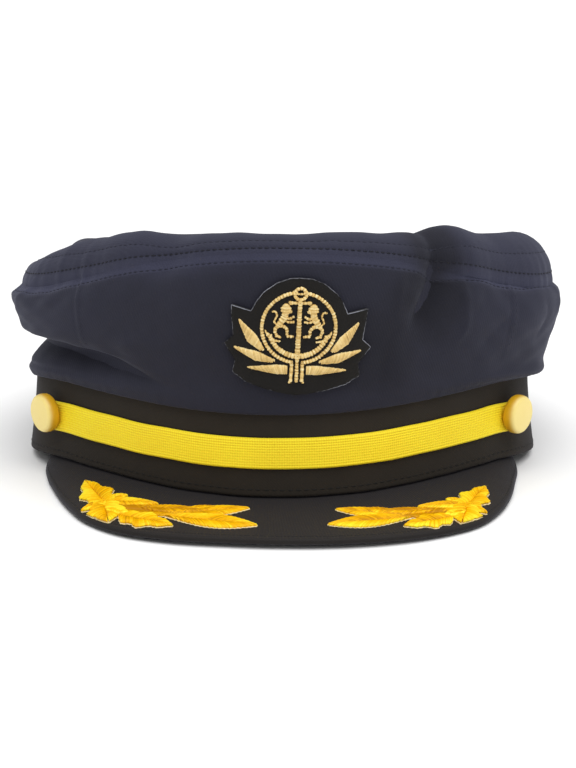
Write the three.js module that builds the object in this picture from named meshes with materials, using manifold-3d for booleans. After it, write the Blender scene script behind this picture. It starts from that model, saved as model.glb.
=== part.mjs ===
// A yacht captain's hat: a soft navy crown over a black band, a yellow strap held by two covered
// buttons, a short black visor with a leaf sprig sewn on each side, and an anchor badge in front.
// Millimetres, +Z up. The hat faces -Y and stands on z = 0, on its band and the sides of its visor.
import * as THREE from 'three';
import { mergeVertices } from 'three/addons/utils/BufferGeometryUtils.js';
import Module from 'manifold-3d';

const wasm = await Module();
wasm.setup();

// Band
const bandHalfWidth = 94; // from the middle of the hat to the band's face, where it is widest
const bandFrontReach = 98; // from the middle to the band's face over the forehead
const bandBackReach = 98; // from the middle to the band's face at the nape
const widestForward = 22; // how far in front of the middle the band is widest
const shoulderTrim = 0.088; // share taken off the outline between the front and the side
const bandShow = 29; // height of band that shows below the crown
const bandTuck = 4; // height of band that is sewn up inside the crown
const bandWall = 2;
const bandFlare = 3.5; // how far the lower edge stands outside the upper one
const frontLift = 6.6; // how high the visor props the front of the band off the table
const liftStartsAt = 58; // degrees from the front where the band begins to come down
const liftEndsAt = 100; // degrees from the front where it lies on the table

// Crown
const crownWall = 1.5;
const crownFrontTop = 99.3; // height of the top panel's plane over the forehead
const crownBackTop = 57; // height of that plane over the nape
const crownSwell = 13; // how far the wall swells out beyond the band
const crownDroop = 19; // how far the sewn edge hangs below the top panel's plane
const crownRoll = 0.13; // share of the way in from the seam where the top panel's round edge ends
const crownSag = 4; // how far the middle of the top panel sinks
const foldDepth = 11; // depth of the deepest fold

// Visor
const visorWall = 2.2;
const visorReach = 35; // how far its front edge stands out in front of the band
const visorEndAngle = 71; // degrees from the front where its ends meet the band
const visorTuck = 3; // how far its root is sewn in under the band
const visorEndWidth = 1.5;
const visorArch = 1; // how far the middle of its front edge clears the table
const visorArchAngle = 45; // degrees round its edge where the arch comes down to the table
const visorSquareness = 2.2; // 2 makes its edge an ellipse, and more makes it squarer

// Strap and buttons
const strapWidth = 10.5;
const strapThick = 1.2;
const strapHeight = 15.5; // middle of the strap above the band's lower edge
const buttonAngle = 67; // degrees from the front
const buttonRise = 1.5; // middle of the button above the strap's middle
const buttonDiameter = 14.4;
const buttonThick = 5;

// Badge
const ringDiameter = 25.5;
const badgeDrop = 25; // from the front seam down to the ring's centre
const badgeAside = 6.5; // how far the ring's centre is to the wearer's left
const badgeLean = 3; // degrees, top towards the wearer's left
const patchThick = 1.2;
const threadRise = 0.8; // how far sewn figures stand off what they are sewn to

// Sprigs on the visor
const sprigForward = 17; // from the band's face over the forehead to a sprig's middle line
const leftSprigStart = 6.5; // from the hat's middle to the tips of the long leaves
const leftSprigLength = 64;
const rightSprigStart = 16;
const rightSprigLength = 57.5;
const sprigs = [
  { name: 'sprig_left', side: -1, start: leftSprigStart, length: leftSprigLength },
  { name: 'sprig_right', side: 1, start: rightSprigStart, length: rightSprigLength },
];

const gap = 0.3; // clearance between pieces that touch
const deg = THREE.MathUtils.degToRad(1);
const smooth = (x, from, to) => THREE.MathUtils.smoothstep(x, from, to);
const steps = (from, to, count) => (
  Array.from({ length: count + 1 }, (_, k) => from + (to - from) * k / count)
);
const roundSteps = (count) => steps(-180, 180, count).slice(0, -1).map((turn) => turn * deg);
const turnFromFront = (angle) => THREE.MathUtils.euclideanModulo(angle / deg + 180, 360) - 180;

// Outline of the band seen from above. The angle is 0 at the front and grows towards +X.
function outline(angle) {
  const turn = turnFromFront(angle) * deg;
  const front = Math.abs(turn) < Math.PI / 2;
  const reach = front ? bandFrontReach - widestForward : bandBackReach + widestForward;
  const trim = front ? 1 - shoulderTrim * Math.sin(2 * turn) ** 2 : 1;
  return new THREE.Vector2(
    bandHalfWidth * Math.sin(turn) * trim,
    -widestForward - reach * Math.cos(turn) * trim,
  );
}

// A point that stands a given distance outside the band's outline, at a given height.
function around(angle, out, height) {
  const step = 1e-3;
  const here = outline(angle);
  const along = outline(angle + step).sub(outline(angle - step)).normalize();
  return new THREE.Vector3(here.x + along.y * out, here.y - along.x * out, height);
}

function bandFoot(angle) {
  const turn = Math.abs(turnFromFront(angle));
  return frontLift * (1 - smooth(turn, liftStartsAt, liftEndsAt));
}
const bandFace = (height) => bandFlare * Math.max(0, 1 - height / bandShow) ** 1.3;

// Smooth curve through the rows of a table: what column value has where column key is at.
function lookUp(table, key, value, at) {
  const last = table.length - 1;
  const k = THREE.MathUtils.clamp(table.findLastIndex((row) => row[key] <= at), 0, last - 1);
  const slope = (n) => {
    const from = table[Math.max(0, n - 1)];
    const to = table[Math.min(last, n + 1)];
    return n === 0 || n === last ? 0 : (to[value] - from[value]) / (to[key] - from[key]);
  };
  const [a, b] = [table[k], table[k + 1]];
  const span = b[key] - a[key];
  const t = THREE.MathUtils.clamp((at - a[key]) / span, 0, 1);
  const rise = t * t * (3 - 2 * t);
  return a[value] * (1 - rise) + b[value] * rise
    + span * t * (1 - t) * ((1 - t) * slope(k) - t * slope(k + 1));
}

// Round the crown: the shares of crownSwell and of crownDroop at each angle from the front.
const roundCrown = [
  { angle: 0, swell: 0.16, droop: 0.37 },
  { angle: 25, swell: 0.2, droop: 0.5 },
  { angle: 50, swell: 0.45, droop: 0.8 },
  { angle: 72, swell: 0.7, droop: 1 },
  { angle: 95, swell: 0.76, droop: 0.85 },
  { angle: 135, swell: 0.62, droop: 0.45 },
  { angle: 180, swell: 0.5, droop: 0.36 },
];

// Up the crown's wall: the share of the swell at each share of the height from hem to seam.
const upCrown = [
  { rise: 0, swell: 0 },
  { rise: 0.08, swell: 0.22 },
  { rise: 0.2, swell: 0.36 },
  { rise: 0.4, swell: 0.66 },
  { rise: 0.62, swell: 0.96 },
  { rise: 0.8, swell: 1 },
  { rise: 0.92, swell: 0.78 },
  { rise: 1, swell: 0.34 },
];

// Folds and dents, each at an angle and a level (0 hem, 1 seam, 2 middle of the top). lean is how
// many degrees it moves over for one level, wide and high are its half width and half height, and
// deep is its depth as a share of foldDepth. A negative depth is a swelling.
const folds = [
  { name: 'pinch over the hem', angle: -86, level: 0.3, lean: 0, wide: 32, high: 0.1, deep: 1 },
  { name: 'end of the pinch', angle: -50, level: 0.24, lean: 0, wide: 16, high: 0.1, deep: 0.34 },
  { name: 'flat left hem', angle: -86, level: 0.12, lean: 0, wide: 28, high: 0.09, deep: 0.19 },
  { name: 'flat left side', angle: -95, level: 0.6, lean: 0, wide: 30, high: 0.28, deep: 0.58 },
  { name: 'upper left side', angle: -90, level: 0.82, lean: 0, wide: 20, high: 0.09, deep: 0.16 },
  { name: 'flat right side', angle: 84, level: 0.55, lean: 0, wide: 26, high: 0.25, deep: 0.13 },
  { name: 'left shoulder', angle: -88, level: 1.12, lean: 0, wide: 20, high: 0.07, deep: 1.04 },
  { name: 'right shoulder', angle: 78, level: 1.03, lean: 0, wide: 24, high: 0.13, deep: -0.3 },
  { name: 'roll at the right hem', angle: 82, level: 0.06, lean: 0, wide: 28, high: 0.1, deep: -0.22 },
  { name: 'long crease', angle: 36, level: 0.78, lean: 12, wide: 6, high: 0.34, deep: 0.38 },
  { name: 'lip beside the crease', angle: 48, level: 0.75, lean: 8, wide: 7, high: 0.32, deep: -0.15 },
  { name: 'crest over the crease', angle: 44, level: 1.1, lean: 0, wide: 12, high: 0.09, deep: -0.34 },
  { name: 'nick in the seam', angle: -25, level: 0.98, lean: 6, wide: 5, high: 0.12, deep: 0.22 },
  { name: 'hump by the nick', angle: -38, level: 1.08, lean: 0, wide: 9, high: 0.1, deep: -0.13 },
  { name: 'right back fold', angle: 128, level: 0.55, lean: -14, wide: 9, high: 0.32, deep: 0.3 },
  { name: 'left back fold', angle: -136, level: 0.6, lean: 16, wide: 9, high: 0.34, deep: 0.3 },
  { name: 'nape fold', angle: 176, level: 0.45, lean: 10, wide: 9, high: 0.3, deep: 0.22 },
  { name: 'dish in the top', angle: 100, level: 1.5, lean: 0, wide: 40, high: 0.25, deep: 0.18 },
];

function topPlane(angle, inwards = 0) {
  const slope = (crownFrontTop - crownBackTop) / (bandFrontReach + bandBackReach);
  return crownFrontTop - slope * (outline(angle).y * (1 - inwards) + bandFrontReach);
}

function crownShare(angle, value) {
  return lookUp(roundCrown, 'angle', value, Math.abs(turnFromFront(angle)));
}

const seamHeight = (angle) => topPlane(angle) - crownDroop * crownShare(angle, 'droop');
const hemHeight = (angle) => bandFoot(angle) + bandShow;

// The crown without its folds. Level 0 is the hem, 1 the seam and 2 the middle of the top panel.
function plainCrown(angle, level) {
  const rise = Math.min(level, 1);
  const swell = crownSwell * crownShare(angle, 'swell') * lookUp(upCrown, 'rise', 'swell', rise);
  const height = THREE.MathUtils.lerp(hemHeight(angle), seamHeight(angle), rise);
  const wall = around(angle, gap + crownWall + swell, height);
  if (level <= 1) return wall;
  const roll = Math.min(1, (level - 1) / crownRoll) * Math.PI / 2;
  const inwards = level - 1 < crownRoll ? crownRoll * (1 - Math.cos(roll)) : level - 1;
  const droop = crownDroop * crownShare(angle, 'droop') * (1 - Math.sin(roll));
  wall.multiplyScalar(1 - inwards);
  wall.z = topPlane(angle, inwards) - droop - crownSag * smooth(inwards, 0.1, 0.8);
  return wall;
}

function foldAt(angle, level) {
  let depth = 0;
  for (const fold of folds) {
    const up = (level - fold.level) / fold.high;
    const turn = turnFromFront(angle - (fold.angle + fold.lean * (level - fold.level)) * deg);
    depth += fold.deep * foldDepth * Math.exp(-(up ** 2) - (turn / fold.wide) ** 2);
  }
  return depth * smooth(level, 0, 0.12) * (1 - smooth(level, 1.6, 2));
}

// The outward direction of a surface, kept short of the one point where a top panel ends.
function normalOf(surface, u, v) {
  const step = 0.02;
  const at = Math.min(v, 2 - 2 * step);
  const alongU = surface(u + step, at).sub(surface(u - step, at));
  const alongV = surface(u, at + step).sub(surface(u, at - step));
  return alongU.cross(alongV).normalize();
}

const standOff = (surface, height) => (u, v) => (
  surface(u, v).addScaledVector(normalOf(surface, u, v), height)
);
const below = (surface, distance) => (u, v) => surface(u, v).setZ(surface(u, v).z - distance);

function crown(angle, level) {
  const out = normalOf(plainCrown, angle, level);
  return plainCrown(angle, level).addScaledVector(out, -foldAt(angle, level));
}

function geometryOf(places, triangles) {
  const geometry = new THREE.BufferGeometry();
  const numbers = places.flatMap((place) => place.toArray());
  geometry.setAttribute('position', new THREE.Float32BufferAttribute(numbers, 3));
  geometry.setIndex(triangles);
  geometry.computeVertexNormals();
  return geometry;
}

// A closed body between an outer and an inner surface, each called with u and v. closed makes it
// run all the way round in u, and pointed makes it end in one point at its last v.
function shell(outer, inner, us, vs, { closed = false, pointed = false } = {}) {
  const places = [];
  const triangles = [];
  const layers = [outer, inner].map((surface) => us.map((u, i) => vs.map((v, j) => {
    if (pointed && j === vs.length - 1 && i > 0) return undefined;
    return places.push(surface(u, v)) - 1;
  })));
  const spot = (layer, i, j) => {
    const row = i % us.length;
    return layers[layer][row][j] ?? layers[layer][0][j];
  };
  const face = (...corners) => {
    for (let k = 2; k < corners.length; k += 1) {
      const three = [corners[0], corners[k - 1], corners[k]];
      if (new Set(three).size === 3) triangles.push(...three);
    }
  };
  const lastV = vs.length - 1;
  const spans = closed ? us.length : us.length - 1;
  for (let i = 0; i < spans; i += 1) {
    for (let j = 0; j < lastV; j += 1) {
      face(spot(0, i, j), spot(0, i + 1, j), spot(0, i + 1, j + 1), spot(0, i, j + 1));
      face(spot(1, i, j), spot(1, i, j + 1), spot(1, i + 1, j + 1), spot(1, i + 1, j));
    }
    face(spot(0, i, 0), spot(1, i, 0), spot(1, i + 1, 0), spot(0, i + 1, 0));
    if (!pointed) {
      face(spot(0, i, lastV), spot(0, i + 1, lastV), spot(1, i + 1, lastV), spot(1, i, lastV));
    }
  }
  for (let j = 0; j < lastV && !closed; j += 1) {
    face(spot(0, 0, j), spot(0, 0, j + 1), spot(1, 0, j + 1), spot(1, 0, j));
    face(spot(0, spans, j), spot(1, spans, j), spot(1, spans, j + 1), spot(0, spans, j + 1));
  }
  return geometryOf(places, triangles);
}

function solidOf(geometry) {
  const bare = geometry.clone();
  bare.deleteAttribute('normal');
  bare.deleteAttribute('uv');
  const merged = mergeVertices(bare, 1e-4);
  return new wasm.Manifold(new wasm.Mesh({
    numProp: 3,
    vertProperties: new Float32Array(merged.getAttribute('position').array),
    triVerts: new Uint32Array(merged.getIndex().array),
  }));
}

function geometryFrom(solid) {
  const mesh = solid.getMesh();
  const places = new Float32Array(mesh.vertProperties);
  const geometry = new THREE.BufferGeometry();
  geometry.setAttribute('position', new THREE.BufferAttribute(places, 3));
  geometry.setIndex(new THREE.BufferAttribute(new Uint32Array(mesh.triVerts), 1));
  geometry.computeVertexNormals();
  return geometry;
}

// Flat outlines
function leafShape({ x, y, turn, length, width, belly = 0.4, lobes = 0 }, scale) {
  const shares = steps(0, 1, lobes > 0 ? 2 * lobes : 7);
  const half = (share) => {
    const bend = share ** (Math.log(0.5) / Math.log(belly));
    const notch = lobes > 0 ? 1 - 0.3 * Math.cos(lobes * Math.PI * share) ** 2 : 1;
    return (0.06 + 0.94 * Math.sin(Math.PI * bend)) * notch * width / 2;
  };
  const side = (sign) => shares.map((share) => (
    new THREE.Vector2(share * length, sign * half(share))
      .rotateAround(new THREE.Vector2(), turn * deg)
      .add(new THREE.Vector2(x, y))
      .multiplyScalar(scale)
  ));
  return new THREE.Shape([...side(-1), ...side(1).reverse()]);
}

// A line of given width, or one that widens from start to end, through points given as [x, y].
function strokeShape({ line, start, end = start }, scale) {
  const path = line.map(([x, y]) => new THREE.Vector2(x, y).multiplyScalar(scale));
  const side = (sign) => path.map((point, k) => {
    const from = path[Math.max(0, k - 1)];
    const to = path[Math.min(path.length - 1, k + 1)];
    const across = to.clone().sub(from).normalize().rotateAround(new THREE.Vector2(), Math.PI / 2);
    const half = THREE.MathUtils.lerp(start, end, k / (path.length - 1)) * scale / 2;
    return point.clone().addScaledVector(across, sign * half);
  });
  return new THREE.Shape([...side(-1), ...side(1).reverse()]);
}

function ovalShape({ x, y, wide, high = wide, hole = 0 }, scale) {
  const ring = (share) => roundSteps(14).map((turn) => new THREE.Vector2(
    (x + wide * share * Math.cos(turn)) * scale,
    (y + high * share * Math.sin(turn)) * scale,
  ));
  const shape = new THREE.Shape(ring(1));
  if (hole > 0) shape.holes.push(new THREE.Path(ring(hole).reverse()));
  return shape;
}

const mirrored = (points) => points.map(([x, y]) => [-x, y]);
const arc = (radius, from, to, count) => steps(from, to, count).map((turn) => (
  [radius * Math.sin(turn * deg), -radius * Math.cos(turn * deg)]
));

// One solid of several flat outlines, cut out of a sheet by prisms that place turns towards it.
function figureOn(sheet, shapes, place) {
  const length = 4 * (bandFrontReach + visorReach);
  const cutter = shapes.map((shape) => {
    const prism = new THREE.ExtrudeGeometry(shape, { depth: length, bevelEnabled: false });
    return solidOf(prism.translate(0, 0, -length / 2).applyMatrix4(place));
  }).reduce((whole, prism) => whole.add(prism));
  return geometryFrom(solidOf(sheet).intersect(cutter));
}

// Materials
const cloth = (color, roughness = 0.9) => (
  new THREE.MeshStandardMaterial({ color, roughness, metalness: 0 })
);
const navy = cloth(0x2d2e3c);
const black = cloth(0x1f1c1b);
const yellow = cloth(0xf5d32c, 0.6);
const butter = cloth(0xf7dd79, 0.35);
const gold = cloth(0xd8b56a, 0.5);
const orange = cloth(0xf4b400, 0.5);
const felt = cloth(0x151414, 1);

const hat = new THREE.Group();
function add(name, geometry, material) {
  const mesh = new THREE.Mesh(geometry, material);
  mesh.name = name;
  hat.add(mesh);
  return mesh;
}

// Crown
const crownAngles = roundSteps(72);
const seamShare = gap / 2 / (seamHeight(0) - hemHeight(0));
const wallLevels = [0, 0.08, 0.16, 0.24, 0.32, 0.42, 0.55, 0.7, 0.82, 0.92, 1 - seamShare];
const topLevels = [1 + seamShare, 1.03, 1.07, 1.13, 1.26, 1.55, 2];
const crownLining = standOff(crown, -crownWall);
add('crown_wall', shell(crown, crownLining, crownAngles, wallLevels, { closed: true }), navy);
const panel = shell(crown, crownLining, crownAngles, topLevels, { closed: true, pointed: true });
add('crown_top', panel, navy);

// Band
function bandSurface(inset) {
  return (angle, share) => {
    const height = share * (bandShow + bandTuck);
    return around(angle, bandFace(height) - inset, bandFoot(angle) + height);
  };
}
const bandShares = [0, 0.3, bandShow / (bandShow + bandTuck), 1];
const headBand = shell(bandSurface(0), bandSurface(bandWall), crownAngles, bandShares, { closed: true });
add('band', headBand, black);

// Visor
const visorEnd = around(visorEndAngle * deg, bandFace(0) - visorTuck + visorEndWidth, 0);

// Round the visor's edge from the wearer's right: how far out it is, as a share of an even edge.
const visorEdge = [
  { turn: -90, reach: 1 },
  { turn: -80, reach: 0.985 },
  { turn: -70, reach: 0.976 },
  { turn: -58, reach: 0.99 },
  { turn: -46, reach: 1.022 },
  { turn: -34, reach: 1.035 },
  { turn: -22, reach: 1.018 },
  { turn: -10, reach: 0.998 },
  { turn: 0, reach: 1 },
  { turn: 12, reach: 1.012 },
  { turn: 24, reach: 1.03 },
  { turn: 36, reach: 1.05 },
  { turn: 46, reach: 1.058 },
  { turn: 56, reach: 1.036 },
  { turn: 68, reach: 1.005 },
  { turn: 78, reach: 0.99 },
  { turn: 90, reach: 1 },
];

function visorTop(share, across) {
  const turn = share * Math.PI / 2;
  const reach = lookUp(visorEdge, 'turn', 'reach', turn / deg);
  const root = around(share * visorEndAngle * deg, bandFace(0) - visorTuck, 0);
  const square = 2 / visorSquareness;
  const rim = new THREE.Vector3(
    visorEnd.x * reach * Math.sign(turn) * Math.abs(Math.sin(turn)) ** square,
    visorEnd.y - (bandFrontReach + visorReach + visorEnd.y) * reach * Math.cos(turn) ** square,
    0,
  );
  const edge = Math.cos(visorArchAngle * deg);
  const arch = visorArch * Math.max(0, (Math.cos(turn) - edge) / (1 - edge));
  const rootTop = bandFoot(share * visorEndAngle * deg) - gap;
  return root.lerp(rim, across).setZ(THREE.MathUtils.lerp(rootTop, visorWall + arch, across ** 1.2));
}

const visorShares = steps(1, -1, 44);
const visorAcross = [0, 0.3, 0.65, 1];
add('visor', shell(visorTop, below(visorTop, visorWall), visorShares, visorAcross), black);

// Strap
function strapSurface(out) {
  return (angle, share) => {
    const height = strapHeight + (share - 0.5) * strapWidth;
    return around(angle, bandFace(height) + gap + out, bandFoot(angle) + height);
  };
}
const strapEnd = buttonAngle + buttonDiameter / 4 / bandHalfWidth / deg;
const strapAngles = steps(-strapEnd, strapEnd, 36).map((turn) => turn * deg);
add('strap', shell(strapSurface(strapThick), strapSurface(0), strapAngles, [0, 0.5, 1]), yellow);

// Buttons
const buttonProfile = [
  { out: 0, up: 0 },
  { out: 0.8, up: 0 },
  { out: 0.97, up: 0.2 },
  { out: 1, up: 0.45 },
  { out: 0.95, up: 0.72 },
  { out: 0.8, up: 0.9 },
  { out: 0.5, up: 0.98 },
  { out: 0, up: 1 },
].map((row) => new THREE.Vector2(row.out * buttonDiameter / 2, row.up * buttonThick));

for (const [name, side] of [['button_left', -1], ['button_right', 1]]) {
  const angle = side * buttonAngle * deg;
  const height = strapHeight + buttonRise;
  const foot = around(angle, 0, 0);
  const outwards = around(angle, 1, 0).sub(foot);
  const reach = (turn) => {
    const low = height - buttonDiameter / 2;
    return around(turn, bandFace(low) + 2 * gap + strapThick, 0).sub(foot).dot(outwards);
  };
  const seat = Math.max(...steps(-6, 6, 12).map((turn) => reach(angle + turn * deg)));
  const button = add(name, new THREE.LatheGeometry(buttonProfile, 18), butter);
  button.position.copy(foot.addScaledVector(outwards, seat).setZ(bandFoot(angle) + height));
  button.quaternion.setFromUnitVectors(new THREE.Vector3(0, 1, 0), outwards);
}

// Badge, drawn in shares of its ring's radius, from the ring's centre
const badgeHalf = [
  { x: 0, y: 1.33 }, { x: 0.3, y: 1.31 }, { x: 0.62, y: 1.18 }, { x: 0.94, y: 0.93 },
  { x: 1.12, y: 0.67 }, { x: 1.25, y: 0.39 }, { x: 1.77, y: 0.51 }, { x: 1.74, y: 0.15 },
  { x: 1.68, y: -0.32 }, { x: 1.91, y: -0.54 }, { x: 1.6, y: -0.98 }, { x: 1.66, y: -1.31 },
  { x: 1.32, y: -1.55 }, { x: 0.8, y: -1.71 }, { x: 0.27, y: -1.81 }, { x: 0, y: -1.83 },
];
const ringWide = 0.09;
const stemAside = 0.14;
const stemFoot = -1.48;
const anchorLines = [
  { name: 'ring, right', line: arc(1 - ringWide / 2, 9, 172, 18), start: ringWide },
  { name: 'ring, left', line: arc(1 - ringWide / 2, -9, -172, 18), start: ringWide },
  { name: 'stem, right', line: [[stemAside, -0.9], [stemAside, stemFoot]], start: 0.085 },
  { name: 'stem, left', line: [[-stemAside, -0.9], [-stemAside, stemFoot]], start: 0.085 },
  { name: 'stem, middle', line: [[0, -0.7], [0, stemFoot]], start: 0.085 },
  { name: 'shank', line: [[0, 0.74], [0, -0.76]], start: 0.13 },
  { name: 'stock', line: [[-0.28, 0.68], [0.28, 0.68]], start: 0.11 },
  { name: 'arm, right', line: arc(0.76, 0, 70, 8), start: 0.16, end: 0.12 },
  { name: 'arm, left', line: arc(0.76, 0, -70, 8), start: 0.16, end: 0.12 },
  { name: 'bill, right', line: [[0.68, -0.29], [0.87, -0.13]], start: 0.15, end: 0.02 },
  { name: 'bill, left', line: [[-0.68, -0.29], [-0.87, -0.13]], start: 0.15, end: 0.02 },
  { name: 'barb, right', line: [[0.7, -0.3], [0.45, -0.38]], start: 0.12, end: 0.05 },
  { name: 'barb, left', line: [[-0.7, -0.3], [-0.45, -0.38]], start: 0.12, end: 0.05 },
];
const shackle = { x: 0, y: 0.92, wide: 0.2, hole: 0.45 };

// A small upright lion, its tail outwards and its paws towards the anchor.
const lionHead = { x: -0.34, y: 0.48, wide: 0.13, high: 0.16 };
const lionLines = [
  { name: 'muzzle', line: [[-0.36, 0.46], [-0.19, 0.46]], start: 0.18, end: 0.08 },
  {
    name: 'body',
    line: [[-0.35, 0.4], [-0.39, 0.26], [-0.48, 0.12], [-0.53, 0.02]],
    start: 0.2,
    end: 0.14,
  },
  { name: 'upper paw', line: [[-0.4, 0.3], [-0.24, 0.25], [-0.11, 0.33]], start: 0.07 },
  { name: 'lower paw', line: [[-0.42, 0.22], [-0.24, 0.15], [-0.1, 0.16]], start: 0.07 },
  { name: 'back leg', line: [[-0.52, 0.06], [-0.6, -0.1], [-0.56, -0.21]], start: 0.1, end: 0.07 },
  { name: 'back foot', line: [[-0.59, -0.18], [-0.46, -0.26]], start: 0.09, end: 0.06 },
  {
    name: 'front leg',
    line: [[-0.5, 0.06], [-0.4, 0.02], [-0.28, -0.08], [-0.29, -0.22]],
    start: 0.1,
    end: 0.07,
  },
  { name: 'front foot', line: [[-0.31, -0.22], [-0.1, -0.24]], start: 0.08, end: 0.06 },
  {
    name: 'tail',
    line: [[-0.52, 0.06], [-0.64, 0.16], [-0.58, 0.32], [-0.62, 0.42], [-0.7, 0.42]],
    start: 0.05,
  },
];

// Leaves of one side, from the lowest up.
const badgeLeaves = [
  { x: 0.24, y: -1.17, turn: 0.5, length: 1.02, width: 0.29, belly: 0.36 },
  { x: 0.63, y: -0.92, turn: 17, length: 1.05, width: 0.31, belly: 0.38 },
  { x: 0.91, y: -0.64, turn: 54, length: 1.06, width: 0.3, belly: 0.38 },
];

const ringRadius = ringDiameter / 2;
const badgeCentre = new THREE.Vector3(badgeAside, 0, seamHeight(0) - badgeDrop);
const towardsFront = new THREE.Matrix4()
  .makeTranslation(badgeCentre)
  .multiply(new THREE.Matrix4().makeRotationY(badgeLean * deg))
  .multiply(new THREE.Matrix4().makeRotationX(Math.PI / 2));
const frontAngles = crownAngles.filter((angle) => Math.abs(turnFromFront(angle)) < 32);
const frontLevels = wallLevels.slice(1, -1);
const onCrown = (from, to) => (
  shell(standOff(crown, to), standOff(crown, from), frontAngles, frontLevels)
);

const patchOutline = [
  ...badgeHalf.toReversed().map((row) => new THREE.Vector2(row.x, row.y)),
  ...badgeHalf.slice(1, -1).map((row) => new THREE.Vector2(-row.x, row.y)),
].map((corner) => corner.multiplyScalar(ringRadius));
add('badge_patch', figureOn(
  onCrown(gap, gap + patchThick),
  [new THREE.Shape(patchOutline)],
  towardsFront,
), felt);

const threadSheet = onCrown(2 * gap + patchThick, 2 * gap + patchThick + threadRise);
const strokes = (rows) => rows.map((row) => strokeShape(row, ringRadius));
add('badge_anchor', figureOn(
  threadSheet,
  [...strokes(anchorLines), ovalShape(shackle, ringRadius)],
  towardsFront,
), gold);

for (const [name, turned] of [['left', false], ['right', true]]) {
  const flip = ({ line, ...rest }) => ({ line: turned ? mirrored(line) : line, ...rest });
  const head = { ...lionHead, x: turned ? -lionHead.x : lionHead.x };
  add(`badge_lion_${name}`, figureOn(
    threadSheet,
    [...strokes(lionLines.map(flip)), ovalShape(head, ringRadius)],
    towardsFront,
  ), gold);
  badgeLeaves.forEach((row, k) => {
    const leaf = turned ? row : { ...row, x: -row.x, turn: 180 - row.turn };
    const figure = figureOn(threadSheet, [leafShape(leaf, ringRadius)], towardsFront);
    add(`badge_leaf_${name}_${k + 1}`, figure, gold);
  });
}

// Sprigs, drawn in shares of their length from the tips of the long leaves outwards
const sprigLeaves = [
  { name: 'long leaf behind', x: 0.48, y: 0.02, turn: 172, length: 0.43, width: 0.12, belly: 0.55 },
  { name: 'long leaf in front', x: 0.5, y: 0, turn: 195, length: 0.51, width: 0.15, belly: 0.55 },
  { name: 'stem', x: 0.42, y: 0.02, turn: 18, length: 0.46, width: 0.16, belly: 0.5 },
  { name: 'inner back leaf', x: 0.86, y: 0.25, turn: 197, length: 0.33, width: 0.1, belly: 0.45 },
  { name: 'inner front leaf', x: 0.75, y: 0.04, turn: 208, length: 0.34, width: 0.18, lobes: 3 },
  { name: 'outer back leaf', x: 0.82, y: 0.17, turn: 66, length: 0.41, width: 0.2, lobes: 3 },
  { name: 'outer front leaf', x: 0.83, y: 0.24, turn: 324, length: 0.16, width: 0.09 },
  { name: 'outer front lobe', x: 0.85, y: 0.23, turn: 258, length: 0.27, width: 0.22, lobes: 3 },
];
const onVisor = (from, to) => shell(
  below(visorTop, -to),
  below(visorTop, -from),
  visorShares.slice(1, -1),
  [0.12, ...visorAcross.slice(1, -1), 0.96],
);
for (const { name, side, start, length } of sprigs) {
  const place = new THREE.Matrix4().makeTranslation(side * start, -bandFrontReach - sprigForward, 0);
  const shapes = sprigLeaves.map((row) => {
    const leaf = side > 0 ? row : { ...row, x: -row.x, turn: 180 - row.turn };
    return leafShape(leaf, length);
  });
  add(name, figureOn(onVisor(gap, gap + threadRise), shapes, place), orange);
}

// The origin is under the middle of the whole hat, on the table.
const bounds = new THREE.Box3().setFromObject(hat, true);
const middle = bounds.getCenter(new THREE.Vector3());
hat.position.set(-middle.x, -middle.y, -bounds.min.z);

export default hat;
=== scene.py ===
import math
from collections import namedtuple

import bmesh
import bpy
import numpy as np
from bpy.props import FloatProperty, FloatVectorProperty, PointerProperty
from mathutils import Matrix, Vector
from mathutils.bvhtree import BVHTree


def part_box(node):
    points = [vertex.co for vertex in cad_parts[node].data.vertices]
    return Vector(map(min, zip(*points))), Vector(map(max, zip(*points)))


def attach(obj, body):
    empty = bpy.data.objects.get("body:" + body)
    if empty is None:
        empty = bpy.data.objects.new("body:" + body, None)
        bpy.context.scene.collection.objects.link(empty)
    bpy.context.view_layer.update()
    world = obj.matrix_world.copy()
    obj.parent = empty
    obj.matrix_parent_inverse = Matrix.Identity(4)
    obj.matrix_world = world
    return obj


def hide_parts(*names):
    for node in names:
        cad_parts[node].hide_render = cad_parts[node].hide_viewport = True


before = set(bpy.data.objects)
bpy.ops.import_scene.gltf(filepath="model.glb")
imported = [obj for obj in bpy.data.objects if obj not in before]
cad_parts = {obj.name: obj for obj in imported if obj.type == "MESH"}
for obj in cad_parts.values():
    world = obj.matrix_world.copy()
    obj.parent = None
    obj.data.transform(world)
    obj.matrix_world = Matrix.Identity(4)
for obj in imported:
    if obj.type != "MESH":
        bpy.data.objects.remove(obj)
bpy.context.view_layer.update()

bl_info = {
    "name": "Captain hat",
    "version": (1, 0, 0),
    "blender": (4, 5, 0),
    "location": "3D View > Sidebar > Hat",
    "description": "Dresses a yacht captain's hat in cloth, ribbon, thread and covered buttons",
    "category": "Object",
}

BAND_LOW, BAND_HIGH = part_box("band")
MM = 0.001
BODY = "root"


# Settings that a user would change

def length(name, description, default):
    return FloatProperty(
        name=name, description=description, default=default, unit="LENGTH", subtype="DISTANCE"
    )


def angle_of(name, description, degrees):
    return FloatProperty(
        name=name,
        description=description,
        default=math.radians(degrees),
        unit="ROTATION",
        subtype="ANGLE",
    )


def share(name, description, default):
    return FloatProperty(name=name, description=description, default=default, subtype="FACTOR")


def colour(name, description, default):
    return FloatVectorProperty(
        name=name, description=description, default=default, subtype="COLOR", size=3, min=0, max=1
    )


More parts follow.
